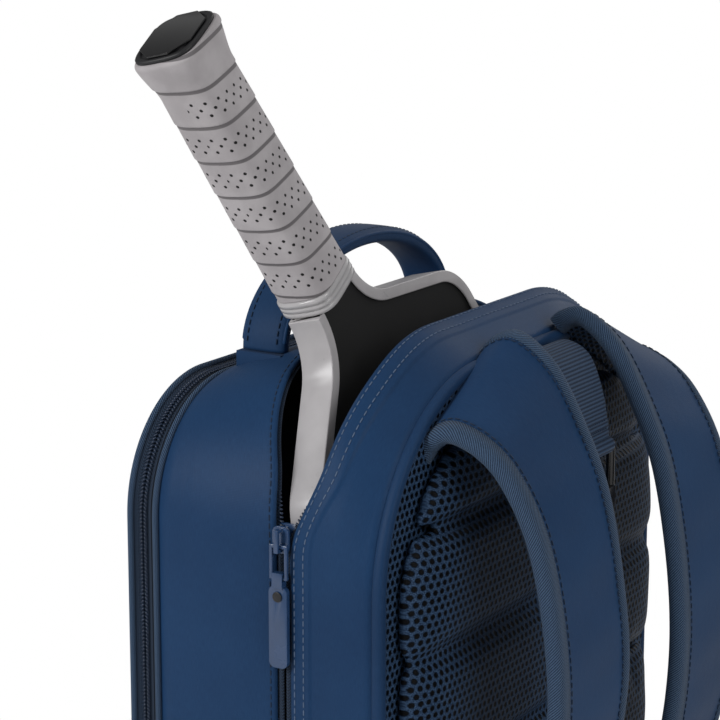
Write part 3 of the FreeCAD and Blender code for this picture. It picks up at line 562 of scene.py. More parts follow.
# %% The arch
front_low, front_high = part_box("front_shell")
HALF = front_high.x
FOOT = front_low.z
FRONT_Y, ZIP_Y = front_low.y, front_high.y
BACK_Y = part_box("rear_shell")[1].y
SLIDER_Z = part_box("main_right_slider")[0].z + 6.5 * mm
ZIP_END_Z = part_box("main_zip_teeth_right")[0].z
GAP = 4.0 * mm
depth_knots = np.array([FRONT_Y, ZIP_Y, 38 * mm, BACK_Y])
height_knots = np.array([440, 466, 470, 452]) * mm
radius_knots = np.array([62, 92, 92, 98]) * mm
SIDE_TOP = 374 * mm  # where the straight side ends and the shoulder begins, at the zip


def arch(t, half, top, radius, foot):
    """x, z and outward normal of an arch: t runs 0 to 5 over side, shoulder, crown, shoulder, side.

    x is the half width less the radius times (1 - cos a), less the crown walked so far,
    less the radius times sin b; z rises up the side and by radius times sin a, then falls
    by radius times (1 - cos b) and down the far side. a and b turn through the shoulders.
    """
    side_up, side_down = np.clip(t, 0, 1), np.clip(t - 4, 0, 1)
    a, b = (np.clip(t - k, 0, 1) * math.pi / 2 for k in (1, 3))
    crown = np.clip(t - 2, 0, 1)
    rise = top - radius - foot
    x = half - radius * (1 - np.cos(a)) - 2 * (half - radius) * crown - radius * np.sin(b)
    z = foot + rise * (side_up - side_down) + radius * (np.sin(a) - (1 - np.cos(b)))
    return x, z, np.cos(a + b), np.sin(a + b)


def softened(y, knots, values):
    """Straight runs between knots, eased by averaging over 12 mm of depth."""
    shifts = np.linspace(-6, 6, 7) * mm
    inside = (np.clip(y + s, FRONT_Y, BACK_Y) for s in shifts)
    return sum(np.interp(v, knots, values) for v in inside) / len(shifts)


def body_point(t, y, proud=0.0):
    """The bag's outer surface at (t, y), moved outwards by proud, and its normal."""
    x, z, nx, nz = arch(t, HALF, softened(y, depth_knots, height_knots),
                        softened(y, depth_knots, radius_knots), FOOT)
    point = np.stack([x + proud * nx, y + np.zeros_like(x), z + proud * nz], -1)
    return point, np.stack([nx, np.zeros_like(nx), nz], -1)


def stretches(*counts):
    """Rows of t from 0 up: each stretch of the arch is cut into its own count of even steps."""
    return np.concatenate([k + np.linspace(0, 1, n, endpoint=False)
                           for k, n in enumerate(counts)])


T_ROW = np.concatenate([stretches(70, 34, 26, 34), np.linspace(4, 5, 70)])
print("arch rows:", len(T_ROW), "half width", round(HALF * 1000, 1), "mm")


# %% [markdown]
# The two hems leave the zip line at the sliders and curve apart over the top. Below the
# sliders they stay a tooth's width apart, and below the end of the zip the two shells are
# sewn together.

# %% Hem lines
def hem_y(z, heights, places):
    """Depth of a hem at height z, eased so that it opens in one curve."""
    shifts = np.linspace(-7, 7, 9) * mm
    return sum(np.interp(z + s, heights, places) for s in shifts) / len(shifts)


RUN_HEIGHTS = [ZIP_END_Z - 12 * mm, ZIP_END_Z, SLIDER_Z, SLIDER_Z + 30 * mm]


def front_hem(t):
    """Depth of the front shell's hem at t."""
    z = body_point(t, np.full_like(t, ZIP_Y))[0][..., 2]
    places = np.array([ZIP_Y, ZIP_Y - GAP, ZIP_Y - GAP, 7 * mm, -12 * mm, -13 * mm])
    return hem_y(z, np.array(RUN_HEIGHTS + [460 * mm, 470 * mm]), places)


def rear_hem(t):
    """Depth of the rear shell's hem at t."""
    z = body_point(t, np.full_like(t, 30 * mm))[0][..., 2]
    places = np.array([ZIP_Y, ZIP_Y + GAP, ZIP_Y + GAP, 31 * mm, 38 * mm, 38 * mm])
    return hem_y(z, np.array(RUN_HEIGHTS + [456 * mm, 470 * mm]), places)


def slack(t, y, size):
    """Gentle unevenness of hung cloth: three crossed slow waves, up to size high."""
    return size * (0.5 * np.sin(2.1 * t + 34 * y + 0.4) + 0.3 * np.sin(5.3 * t - 61 * y + 1.7)
                   + 0.2 * np.sin(9.1 * t + 92 * y))


def ease(x):
    """0 to 1 with a smooth start and end."""
    x = np.clip(x, 0, 1)
    return x * x * (3 - 2 * x)


crown = np.array([2.5])
print("mouth at the crown:", round(float((rear_hem(crown) - front_hem(crown))[0]) * 1000, 1), "mm")


# %% [markdown]
# The front shell swells a little between its seams and rolls down into the front seam.
# The wall is given by Solidify behind the cloth, and its inner side takes the lining.

# %% Front shell
def front_surface(t, share):
    """Front shell at t, share 0 at the front seam and 1 at the hem."""
    y = FRONT_Y + share * (front_hem(t) - FRONT_Y)
    middle = np.sin(math.pi * share)
    swell = 1.6 * mm * middle**0.8 + slack(t, y, 0.5 * mm) * middle
    roll = -1.8 * mm * (1 - ease(share * 8)) - 0.7 * mm * ease((share - 0.97) * 34)
    return body_point(t, y, swell + roll)


grid_t, grid_share = np.meshgrid(T_ROW, np.linspace(0, 1, 34), indexing="ij")
front_cloth = grid_piece("front_shell_cloth", front_surface(grid_t, grid_share)[0], "bag",
                         "shell_fabric", navy_cloth, lining_cloth, flip=True)
thicken(front_cloth, 2.2 * mm, inner_slot=1)
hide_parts("front_shell")
print("front shell:", len(front_cloth.data.polygons), "faces")

# %% [markdown]
# The rear shell carries the hem flap: a folded strip, eleven millimetres deep, that stands
# a cloth's thickness above the panel and is held by two stitched rows.

# %% Rear shell
FLAP = 11 * mm


def rear_surface(t, share):
    """Rear shell at t, share 0 at the hem and 1 at the back seam."""
    start = rear_hem(t)
    y = start + share * (BACK_Y - start)
    from_hem = share * (BACK_Y - start)
    flap = 0.8 * mm * (1 - ease((from_hem - FLAP) / (1.2 * mm)))
    middle = np.sin(math.pi * share)
    swell = 1.4 * mm * middle**0.8 + slack(t, y, 0.4 * mm) * middle
    roll = -1.0 * mm * (1 - ease(from_hem / (2 * mm))) - 1.6 * mm * ease((share - 0.9) * 10)
    return body_point(t, y, flap + swell + roll)


share_row = np.concatenate([np.linspace(0, 0.5, 34, endpoint=False), np.linspace(0.5, 1, 16)])
grid_t, grid_share = np.meshgrid(T_ROW, share_row, indexing="ij")
rear_cloth = grid_piece("rear_shell_cloth", rear_surface(grid_t, grid_share)[0], "bag",
                        "shell_fabric", navy_cloth, lining_cloth, flip=True)
thicken(rear_cloth, 2.2 * mm, inner_slot=1)
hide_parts("rear_shell")
print("rear shell:", len(rear_cloth.data.polygons), "faces")


# %% [markdown]
# ## Sewing along the hems
# Two rows on the rear flap, one row on the front hem. A row is a line on the cloth at a
# fixed distance from the hem, with thread beads laid along it.

# %% Hem stitches
def hem_row(surface, hem, far, distance, t_row):
    """A line on a shell, distance from its hem, with the surface normal."""
    share = distance / np.maximum(np.abs(far - hem(t_row)), 5 * mm)
    if hem is front_hem:
        share = 1 - share
    return surface(t_row, share)


fine_t = np.linspace(0.02, 4.98, 900)
for label, surface, hem, far, distance in (("outer", rear_surface, rear_hem, BACK_Y, 3.0 * mm),
                                           ("inner", rear_surface, rear_hem, BACK_Y, 8.2 * mm),
                                           ("front", front_surface, front_hem, FRONT_Y, 3.0 * mm)):
    line, line_normal = hem_row(surface, hem, far, distance, fine_t)
    row = stitch_row(f"hem_stitches_{label}", line, line_normal, "bag",
                     thread_dark if label == "front" else thread_blue)
    print(label, "row:", len(row.data.polygons), "faces")

# %% [markdown]
# ## The main zip
# A coil is sewn to the edge of each tape. Closed, the two coils lie side by side in the
# gap; open, each follows its own hem round the mouth. A coil turn is a small bead laid
# across the tape. The tape follows its own hem, and dips where the two tapes meet.

# %% Zip tapes
COIL_PITCH = 1.9 * mm


def coil(name, line, normal, length=3.0 * mm, lean=0.35):
    """Beads across a line, leaning a little along it, as the turns of a nylon coil do."""
    places, axes = along_line(line, normal, COIL_PITCH)
    across = axes[:, 1] + lean * axes[:, 0]
    across /= np.linalg.norm(across, axis=1, keepdims=True)
    turned = np.stack([across, np.cross(axes[:, 2], across), axes[:, 2]], 1)
    copies(name, lozenge(length, 1.25 * mm, 1.5 * mm), places, turned, "bag", "zip_teeth",
           teeth_plastic)


def hem_band(name, hem, inwards):
    """A tape from 9 mm under a hem to the zip's middle; in the open run it stays under the hem.

    In the closed run its free half lies 1.3 mm below the cloth, so that the two tapes meet
    in a shallow groove over the coil.
    """
    t, k = np.meshgrid(T_ROW, np.linspace(0, 1, 9), indexing="ij")
    height = body_point(t, np.full_like(t, ZIP_Y))[0][..., 2]
    opened = ease((height - SLIDER_Z + 3 * mm) / (12 * mm))
    reach = (GAP - 0.75 * mm) * (1 - opened) + 0.6 * mm * opened
    y = hem(t) + inwards * (-9 * mm + (9 * mm + reach) * k)
    drop = 2.95 * mm - 1.65 * mm * (1 - opened) * ease((k - 0.66) / 0.14)
    tape = grid_piece(name, body_point(t, y, -drop)[0], "bag", "zip_teeth", zip_tape,
                      flip=inwards > 0)
    thicken(tape, 0.7 * mm)
    return tape


rear_tape = hem_band("rear_zip_tape", rear_hem, -1)
hem_band("front_zip_tape", front_hem, 1)
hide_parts("main_zip_teeth_right", "main_zip_teeth_left")
print("zip tape:", len(rear_tape.data.polygons), "faces on each hem")

# %% [markdown]
# The two tapes meet without touching, so light would come through the closed run. A strip
# of lining stands behind it on each side, deeper than the slider's inner wing.

# %% Strip behind the closed run
rise = np.linspace(ZIP_END_Z - 10 * mm, SLIDER_Z - 9 * mm, 40)
for label, mirror in (("right", 0.0), ("left", 5.0)):
    side_t = abs(mirror - (rise - FOOT) / (SIDE_TOP - FOOT))
    t, k = np.meshgrid(side_t, np.linspace(-1, 1, 5), indexing="ij")
    flap = grid_piece(f"zip_backing_{label}", body_point(t, ZIP_Y + 9 * mm * k, -6.4 * mm)[0],
                      "bag", "lining", lining_cloth, flip=label == "right")
    thicken(flap, 0.6 * mm)
print("strips:", round((rise[-1] - rise[0]) * 1000, 1), "mm tall")

# %% [markdown]
# The coil's line is read off the hem: 1.7 mm beyond it where the zip is closed, and drawn
# back under the cloth where it is open. The left coil is the right one run backwards.

# %% Coils of the main zip
coil_t = np.linspace(float(np.interp(ZIP_END_Z, [FOOT, SIDE_TOP], [0, 1])), 2.5, 700)
for label, run in (("right", coil_t), ("left", 5.0 - coil_t[::-1])):
    up = body_point(run, np.full_like(run, ZIP_Y))[0][:, 2]
    hidden = ease((up - SLIDER_Z - 4 * mm) / (26 * mm))
    sunk = -2.95 * mm - 0.8 * mm * hidden
    for side, y in (("rear", rear_hem(run) - 1.7 * mm + 3.4 * mm * hidden),
                    ("front", front_hem(run) + 1.7 * mm - 2.8 * mm * hidden)):
        line, line_normal = body_point(run, y, sunk)
        coil(f"main_coil_{side}_{label}", line, line_normal)
print("main coil: a turn every", round(COIL_PITCH * 1000, 1), "mm")


# %% [markdown]
# ## The front compartment
# Its gusset is a herringbone zip tape with the coil in the middle. Piping covers the seam
# to the shell and the seam to the panel. The panel and the pocket on it are pillowed: the
# cloth rises from every edge and is flat only in the middle.

# %% Gusset, zip and piping
panel_low, panel_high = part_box("front_panel")
pocket_low, pocket_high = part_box("front_pocket")
FRONT_TOP, FRONT_RADIUS = panel_high.z, radius_knots[0]
ARCH_TOP = dict(half=HALF, top=FRONT_TOP, radius=FRONT_RADIUS, foot=FOOT)


def front_arch(t, y, proud):
    """A point on the front arch at any depth, and its normal."""
    x, z, nx, nz = arch(t, **ARCH_TOP)
    return (np.stack([x + proud * nx, y + np.zeros_like(x), z + proud * nz], -1),
            np.stack([nx, np.zeros_like(nx), nz], -1))


gusset_depth = np.linspace(FRONT_Y, panel_high.y, 12)
t, y = np.meshgrid(T_ROW, gusset_depth, indexing="ij")
hollow = -1.2 * mm + 0.9 * mm * np.cos(2 * math.pi * (y - FRONT_Y) / (panel_high.y - FRONT_Y))
gusset = grid_piece("gusset_tape", front_arch(t, y, hollow)[0], "bag", "shell_fabric", zip_tape)
thicken(gusset, 1.6 * mm)
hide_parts("front_gusset", "front_zip_teeth")
front_mid = (FRONT_Y + panel_high.y) / 2
for k, shift in enumerate((-1.25 * mm, 1.25 * mm)):
    line, line_normal = front_arch(fine_t, np.full_like(fine_t, front_mid + shift), -0.7 * mm)
    coil(f"front_coil_{k}", line, line_normal, length=2.4 * mm, lean=0.8 if k else -0.8)
for name, depth, proud in (("shell_piping", FRONT_Y + 0.2 * mm, -0.6 * mm),
                           ("panel_piping", panel_high.y, 0.2 * mm)):
    line = front_arch(T_ROW, np.full_like(T_ROW, depth), proud)[0]
    tube(name, line, 1.5 * mm, "bag", "binding", binding_twill, across=(0, 1, 0))
print("gusset:", round((panel_high.y - FRONT_Y) * 1000, 1), "mm deep")


# %% [markdown]
# A pillowed panel is worked out in polar fashion: rings shrink from the outline to the
# middle, and the height is a smooth function of how far in the ring is.

# %% Panel and pocket
def closed_arch(half, top, radius, foot, count=40):
    """The arch and its straight foot as one closed outline of x and z."""
    x, z, _, _ = arch(stretches(*[count] * 5), half, top, radius, foot)
    low_x = np.linspace(-half, half, count, endpoint=False)
    return np.concatenate([np.stack([x, z], 1), np.stack([low_x, np.full(count, foot)], 1)])


def pillow(name, outline, back_y, front_y, crown, edge, middle, rings=22):
    """A closed pillow facing -Y: outline at back_y, rolled forward to front_y and crowned.

    A ring at share k lies between the outline and the middle; depth runs along a quarter
    circle from back to front over the first edge share, and the crown adds a quarter sine.
    The cloth's own map is its height and width, so the yarns run straight up.
    """
    middle = np.array(middle)
    k = np.linspace(0, 1, rings)[:, None] ** 1.35
    xz = outline[None] * (1 - k[..., None]) + middle * k[..., None]
    rise = np.sqrt(1 - (1 - np.clip(k / edge, 0, 1)) ** 2)
    y = back_y + (front_y - back_y) * rise - crown * np.sin(k * math.pi / 2)
    y = np.broadcast_to(y, xz.shape[:2])
    front = np.stack([xz[..., 0], y, xz[..., 1]], -1)
    back = front[:1].copy()
    back_middle = np.broadcast_to([middle[0], back_y, middle[1]], back.shape)
    piece = grid_piece(name, np.concatenate([back_middle, back, front]), "bag", "shell_fabric",
                       navy_cloth, closed_v=True)
    place = np.zeros(len(piece.data.vertices) * 3, np.float32)
    piece.data.vertices.foreach_get("co", place)
    corner = np.zeros(len(piece.data.loops), np.int32)
    piece.data.loops.foreach_get("vertex_index", corner)
    upright = place.reshape(-1, 3)[corner][:, [2, 0]]
    piece.data.uv_layers["cloth"].data.foreach_set("uv", upright.ravel())
    return piece


panel_outline = closed_arch(HALF - 0.6 * mm, FRONT_TOP - 0.6 * mm, FRONT_RADIUS, FOOT)
panel = pillow("front_panel_cloth", panel_outline, panel_high.y, panel_low.y + 0.6 * mm,
               2.5 * mm, 0.06, middle=[0, 0.2])
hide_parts("front_panel")
pocket_outline = closed_arch(pocket_high.x, pocket_high.z, 60 * mm, pocket_low.z)
pocket = pillow("front_pocket_cloth", pocket_outline, pocket_high.y - 1.5 * mm,
                pocket_low.y + 2.2 * mm, 1.0 * mm, 0.22, middle=[0, 0.19])
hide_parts("front_pocket")
print("panel and pocket:", len(panel.data.polygons), len(pocket.data.polygons), "faces")


# %% [markdown]
# The pocket's zip is upright: two strips of tape sunk in the slit, a coil on each, and a
# stitched row on either side.

# %% Pocket zip
pocket_zip_low, pocket_zip_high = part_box("pocket_zip_teeth")
zip_x = (pocket_zip_low.x + pocket_zip_high.x) / 2
zip_run = np.linspace(pocket_zip_low.z - 2 * mm, pocket_zip_high.z + 2 * mm, 90)
face_y = pocket_low.y + 0.85 * mm
OUT = np.array([0.0, -1.0, 0.0])
for k, side in enumerate((-1, 1)):
    u, v = np.meshgrid(zip_run, np.linspace(0, 1, 4), indexing="ij")
    x = zip_x + side * (0.7 * mm + 5.6 * mm * v)
    y = np.full_like(x, face_y) - 0.15 * mm * np.sin(math.pi * v)
    tape = grid_piece(f"pocket_zip_tape_{k}", np.stack([x, y, u], -1), "bag", "shell_fabric",
                      zip_tape, flip=side < 0)
    thicken(tape, 0.8 * mm)
    line = np.stack([np.full_like(zip_run, zip_x + side * 1.9 * mm),
                     np.full_like(zip_run, face_y + 0.2 * mm), zip_run], 1)
    outwards = np.broadcast_to(OUT, line.shape)
    coil(f"pocket_coil_{k}", line, outwards, length=2.2 * mm)
    line = line + np.array([side * 5.9 * mm, 0.1 * mm, 0])
    stitch_row(f"pocket_zip_stitches_{k}", line, outwards, "bag", thread_dark)
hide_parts("pocket_zip_teeth")
print("pocket zip:", round((zip_run[-1] - zip_run[0]) * 1000, 1), "mm long")


# %% [markdown]
# ## The divider and the back board
# These are stiffened sheets between the shells and are shown as the frame has them. The
# back seam is bound with a strip of cloth that rolls over both layers.

# %% Inner sheets
def face_with(node, material):
    """Puts a finish on a CAD node that is shown as it is."""
    kept = bpy.data.objects[node]
    kept.data.materials.clear()
    kept.data.materials.append(material)


face_with("front_divider", lining_cloth)
face_with("back_board", mesh_on_pads)
binding_line = body_point(T_ROW, np.full_like(T_ROW, BACK_Y + 1.2 * mm), -2.2 * mm)[0]
binding_across = np.broadcast_to((0.0, 1.0, 0.0), binding_line.shape)
binding = grid_piece("back_binding", sweep(binding_line, binding_across,
                                           ring_profile(3.2 * mm, 3.0 * mm, 14, 0.8)),
                     "bag", "binding", handle_cloth, closed_v=True, flip=True)
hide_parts("back_seam_binding")
print("back binding:", len(binding.data.polygons), "faces")

# %% [markdown]
# ## The racket sleeve
# A sling of mesh-lined cloth crosses the main compartment, and the paddle's head stands in
# it. It is seen only through the open mouth, so the frame's own sheet is shown with the
# lining's finish.

# %% Sleeve
face_with("racket_sleeve", lining_cloth)
print("sleeve finish:", lining_cloth.name)


# %% [markdown]
# ## Shoulder straps
# Each strap is one padded strip: cloth outside, spacer mesh against the wearer, and a wide
# twill binding rolled over both edges. All of them are swept along the same line, so one
# function makes the strip and gives back the places of its edges for the sewing.

# %% Strap line
# Each station: y, z, outward shift, share of the full width, droop of the outer edge.
STRAP_STATIONS = np.array([
    [64.5, 436, 0, .97, 22], [70, 442.5, 0, 1, 20], [80, 446, 0, 1, 18], [96, 437, 0, 1, 14],
    [110, 419, 0, 1, 8], [124, 390, 0, 1, 4], [133, 350, 0, 1, 0], [137, 308, 0, 1, 0],
    [134, 268, 2, .96, 0], [126, 232, 5, .88, 0], [115, 202, 9, .76, 0], [104, 180, 12, .6, 0]])
STRAP_X, STRAP_HALF, STRAP_DEEP = 67 * mm, 38 * mm, 9 * mm


def strap_frame(sign, count=120):
    """Middle line, unit across, half width and normal of one strap, sign +1 for the right."""
    run = smooth_path(STRAP_STATIONS, count)
    y, z, shift, part, droop = run.T
    middle = np.stack([sign * (STRAP_X + shift * mm), y * mm, z * mm], 1)
    reach = np.stack([sign * STRAP_HALF * part, np.zeros(count), -droop * mm], 1)
    half = np.linalg.norm(reach, axis=1)
    across = reach / half[:, None]
    along = np.gradient(middle, axis=0)
    normal = np.cross(along, across)
    normal *= np.sign(normal[-1, 1])
    return middle, across, half, normal / np.linalg.norm(normal, axis=1, keepdims=True)


def strap_surface(parts, where, height):
    """A line on a strap: where from -1 to 1 across it, height from its middle plane."""
    middle, across, half, normal = parts
    return middle + where * half[:, None] * across + height * normal


def strap_section(where, thickness, edge):
    """Half thickness across a strap: full in the middle, rounded down to nothing at the edges."""
    inside = np.clip((1 - np.abs(where)) / edge, 0, 1)
    return thickness / 2 * np.sqrt(1 - (1 - inside) ** 2)


strap_frames = {label: strap_frame(sign) for label, sign in (("right", 1), ("left", -1))}
for label, parts in strap_frames.items():
    line_foot, node_foot = parts[0][:, 2].min(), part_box(f"shoulder_strap_{label}")[0].z
    print(label, "strap: line ends at", round(float(line_foot) * 1000, 1), "mm, the frame's at",
          round(node_foot * 1000, 1), "mm")

# %% [markdown]
# The strip's outer face is a shade raised in the middle, its mesh face a shade hollow, and
# the binding stands 0.9 mm proud of both and reaches 9.5 mm in from the edge.

# %% Strap cloth, mesh and binding
BIND = 9.5 * mm
for label, parts in strap_frames.items():
    sign = 1 if label == "right" else -1
    middle, across, half, normal = parts
    where = np.sin(np.linspace(-math.pi / 2, math.pi / 2, 25))
    ripple = np.sin(np.linspace(0, 17 * math.pi, len(middle)))
    puff = 0.35 * mm * ripple[:, None] * (1 - where**2)[None]
    shape = strap_section(where, STRAP_DEEP - 1.2 * mm, 0.16)[None]
    closing = np.ones(len(middle))
    closing[[0, -1]] = 0.03
    raised = (shape + 0.3 * mm * (1 - where * where) + puff) * closing[:, None]
    outer, inner = (np.stack([strap_surface(parts, w, height[:, i : i + 1])
                              for i, w in enumerate(where)], 1)
                    for height in (raised, -shape * closing[:, None]))
    whole = np.concatenate([outer, inner[:, -2:0:-1]], 1)
    strap = grid_piece(f"strap_pad_{label}", whole, "bag", "shell_fabric", strap_cloth,
                       mesh_on_straps, closed_v=True, flip=sign > 0)
    column = np.tile(np.arange(whole.shape[1]), len(middle) - 1)
    on_mesh_side = (column >= outer.shape[1] - 1).astype(np.int32)
    strap.data.polygons.foreach_set("material_index", on_mesh_side)
    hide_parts(f"shoulder_strap_{label}")
    for edge in (-1, 1):
        turn = np.linspace(-math.pi / 2, math.pi / 2, 11)
        round_in = np.stack([np.cos(turn), np.sin(turn)], 1)
        flat = STRAP_DEEP / 2
        lip = BIND - flat
        steps = np.concatenate([[[-lip, -flat + 1.0 * mm], [-lip, -flat]], round_in * flat,
                                [[-lip, flat], [-lip, flat - 1.0 * mm]]])
        centre = half - flat
        rows = [middle + (edge * (centre + a))[:, None] * across + b * normal for a, b in steps]
        grid_piece(f"strap_binding_{label}_{edge + 1}", np.stack(rows, 1), "bag", "binding",
                   binding_twill, closed_v=True, flip=(edge * sign) < 0)
        place = edge * (1 - (BIND + 1.6 * mm) / half)[:, None]
        line = strap_surface(parts, place, STRAP_DEEP / 2 - 0.1 * mm)
        stitch_row(f"strap_stitches_{label}_{edge + 1}_0", line, normal, "bag", thread_dark)
    print(label, "strap:", len(strap.data.polygons), "faces")


# %% [markdown]
# ## Taking a hard piece's shape from the frame
# A moulding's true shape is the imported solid. It is copied, its edges are rounded as the
# real moulding's are, and it gets its finish. The frame's own node stays as it was.

# %% Copies of frame nodes
def moulding(node, body, material, bevel, segments=3, angle=28.0):
    """A copy of a frame node with rounded edges and shading that is smooth across them."""
    source = bpy.data.objects[node]
    mesh = source.data.copy()
    mesh.transform(source.matrix_world)
    piece = bpy.data.objects.new(node + "_finished", mesh)
    bpy.context.scene.collection.objects.link(piece)
    work = bmesh.new()
    work.from_mesh(mesh)
    bmesh.ops.remove_doubles(work, verts=work.verts, dist=0.005 * mm)
    bmesh.ops.dissolve_limit(work, angle_limit=math.radians(1.0), verts=work.verts,
                             edges=work.edges)
    for face in work.faces:
        face.smooth = True
    work.to_mesh(mesh)
    work.free()
    mesh.materials.clear()
    mesh.materials.append(material)
    if bevel:
        rounding = piece.modifiers.new("rounding", "BEVEL")
        rounding.width = bevel
        rounding.segments = segments
        rounding.limit_method = "ANGLE"
        rounding.angle_limit = math.radians(angle)
        rounding.harden_normals = True
    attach(piece, body)
    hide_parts(node)
    return piece


# %% [markdown]
# ## The base
# A stiffened sheet wrapped in heavier cloth. Its edges are rounded where the cloth turns.

# %% Base panel
base = moulding("base_panel", "bag", handle_cloth, 1.6 * mm, 4)
print("base:", len(base.data.polygons), "faces")

# %% [markdown]
# ## Zip pullers
# Four alike: a slider with a bail, a wire link through it, a long rounded tab, and the
# rivet near the top of the tab.

# %% Sliders, links, tabs and rivets
for prefix in ("main_right", "main_left", "front", "pocket"):
    moulding(f"{prefix}_slider", f"{prefix}_slider", blue_gloss, 0.5 * mm)
    moulding(f"{prefix}_pull_link", f"{prefix}_link", blue_gloss, 0.5 * mm)
    moulding(f"{prefix}_pull_tab", f"{prefix}_tab", blue_gloss, 0.8 * mm, 4)
    moulding(f"{prefix}_tab_rivet", f"{prefix}_tab", black_satin, 0.4 * mm)
    print("puller:", prefix)


# %% [markdown]
# ## Hook and its webbing
# A folded webbing strip comes down from the top seam between the straps. Its end is sewn
# into a loop, and the hook's bar turns in it. Stitches cross the strip above the loop.

# %% Hanging webbing
HANG = np.array([[66.5, 441], [72, 449.5], [80, 452], [91, 446], [98, 430], [101.2, 415],
                 [102.3, 406.2]]) * mm
hang_path = smooth_path(np.column_stack([np.zeros(len(HANG)), HANG]), 60)
across_x = np.broadcast_to((1.0, 0.0, 0.0), hang_path.shape)
hanger_half = 19 * mm
strip_section = ring_profile(hanger_half, 1.15 * mm, 28, 0.35)
strip = grid_piece("hanging_webbing", sweep(hang_path, across_x, strip_section), "bag",
                   "webbing", webbing_weave, closed_v=True, flip=True)
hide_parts("hook_webbing")
turn = np.linspace(0, 2 * math.pi, 40, endpoint=False)
loop_path = np.stack([np.zeros(40), 102.5 * mm + 3.6 * mm * np.sin(turn),
                      402 * mm + 3.6 * mm * np.cos(turn)], 1)
loop_section = ring_profile(hanger_half, 0.75 * mm, 24, 0.35)
grid_piece("webbing_loop", sweep(loop_path, across_x[:40], loop_section, closed=True), "bag",
           "webbing", webbing_weave, closed_u=True, closed_v=True, flip=True)
for k, (y, z) in enumerate(((103.0, 411), (102.2, 415), (91.5, 446.5))):
    row = np.stack([np.linspace(-16, 16, 30) * mm, np.full(30, y) * mm, np.full(30, z * mm)], 1)
    stitch_row(f"bar_tack_{k}", row, np.broadcast_to((0.0, 0.95, 0.3), row.shape), "bag",
               thread_dark, pitch=2.0 * mm, length=1.8 * mm, slot="webbing")
moulding("fence_hook", "fence_hook", black_gloss, 0.5 * mm)
print("hanging webbing:", round(hanger_half * 2000, 1), "mm wide")

# %% [markdown]
# ## Ladder locks, lower webbing and anchors
# The lower webbing is doubled round each lock and runs down to a tab at the bag's corner,
# turning on edge as it goes.

# %% Lower strap hardware
for label, sign in (("right", 1), ("left", -1)):
    moulding(f"ladder_lock_{label}", "bag", black_satin, 0.7 * mm)
    low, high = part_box(f"ladder_lock_{label}")
    centre = np.array([(a + b) / 2 for a, b in zip(low, high)])
    lean = np.array(Matrix.Rotation(math.radians(-26.6), 3, "X"))
    local = np.array([[0, 3.0, -24], [0, 2.9, -8], [0, 1.6, -6.1], [0, -1.6, -6.1],
                      [0, -2.9, -8], [0, -2.9, -16]]) * mm
    first = centre + local @ lean.T
    half = HALF / mm
    turns = np.array([[sign * (half + out), y, z] for out, y, z in
                      ((-53, 92, 134), (-37, 95, 110), (-19, 99, 88), (0, 97, 68),
                       (2.9, 84, 50), (2.9, 72, 38))]) * mm
    facing = np.array([[1, 0]] * 6 + [[1.0, 0.1], [0.9, 0.4], [0.76, 0.65], [0.25, 0.97],
                                      [0, 1.0], [0, 1.0]])
    stations = np.column_stack([np.concatenate([first, turns]), facing * [1, sign]])
    line = smooth_path(stations, 150)
    edge = np.column_stack([line[:, 3:5], np.zeros(150)])
    run = np.gradient(line[:, :3], axis=0)
    run /= np.linalg.norm(run, axis=1, keepdims=True)
    edge -= (edge * run).sum(1, keepdims=True) * run
    edge /= np.linalg.norm(edge, axis=1, keepdims=True)
    flat = np.repeat(ring_profile(12.5 * mm, 0.8 * mm, 24, 0.35)[None], 150, 0)
    flat[[0, -1]] *= 0.02
    webbing = grid_piece(f"lower_webbing_{label}", sweep(line[:, :3], edge, flat), "bag",
                         "webbing", webbing_weave, closed_v=True, flip=True)
    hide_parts(f"strap_webbing_{label}")
    moulding(f"strap_anchor_{label}", "bag", handle_cloth, 0.25 * mm, 2)
    print(label, "webbing:", len(webbing.data.polygons), "faces")


# %% [markdown]
# ## Carry handle
# A padded tube of cloth bent into a half ellipse, a little fuller in the middle, with
# piping along both edges and a flat sewn foot at each end.

# %% Handle
handle_low, handle_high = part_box("carry_handle")
HANDLE_BASE, HANDLE_MID = handle_low.z, (handle_low.y + handle_high.y) / 2
turn = np.linspace(0, math.pi, 90)
handle_line = np.stack([79.3 * mm * np.cos(turn), np.full(90, HANDLE_MID),
                        HANDLE_BASE + 45.3 * mm * np.sin(turn)], 1)
fuller = 0.88 + 0.14 * np.sin(turn)
swelling = np.stack([np.ones(90), fuller], 1)[:, None]
section = ring_profile(12.6 * mm, 4.4 * mm, 32, 0.62)[None] * swelling
along_y = np.broadcast_to((0.0, 1.0, 0.0), (92, 3))
section = np.concatenate([section[:1] * 0.02, section, section[-1:] * 0.02])
handle_line = np.concatenate([handle_line[:1], handle_line, handle_line[-1:]])
bent = handle_line.copy()
bent[0, 2] -= 0.01 * mm
bent[-1, 2] -= 0.01 * mm
handle = grid_piece("handle_cloth_tube", sweep(bent, along_y, section), None, "handle_fabric",
                    handle_cloth, closed_v=True, flip=True)
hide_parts("carry_handle")
run = np.gradient(handle_line[1:-1], axis=0)
outward = np.cross(run, along_y[1:-1])
outward /= np.linalg.norm(outward, axis=1, keepdims=True)
from_centre = handle_line[1:-1] - np.array([0, HANDLE_MID, HANDLE_BASE])
outward *= np.sign((outward * from_centre).sum(1).mean())
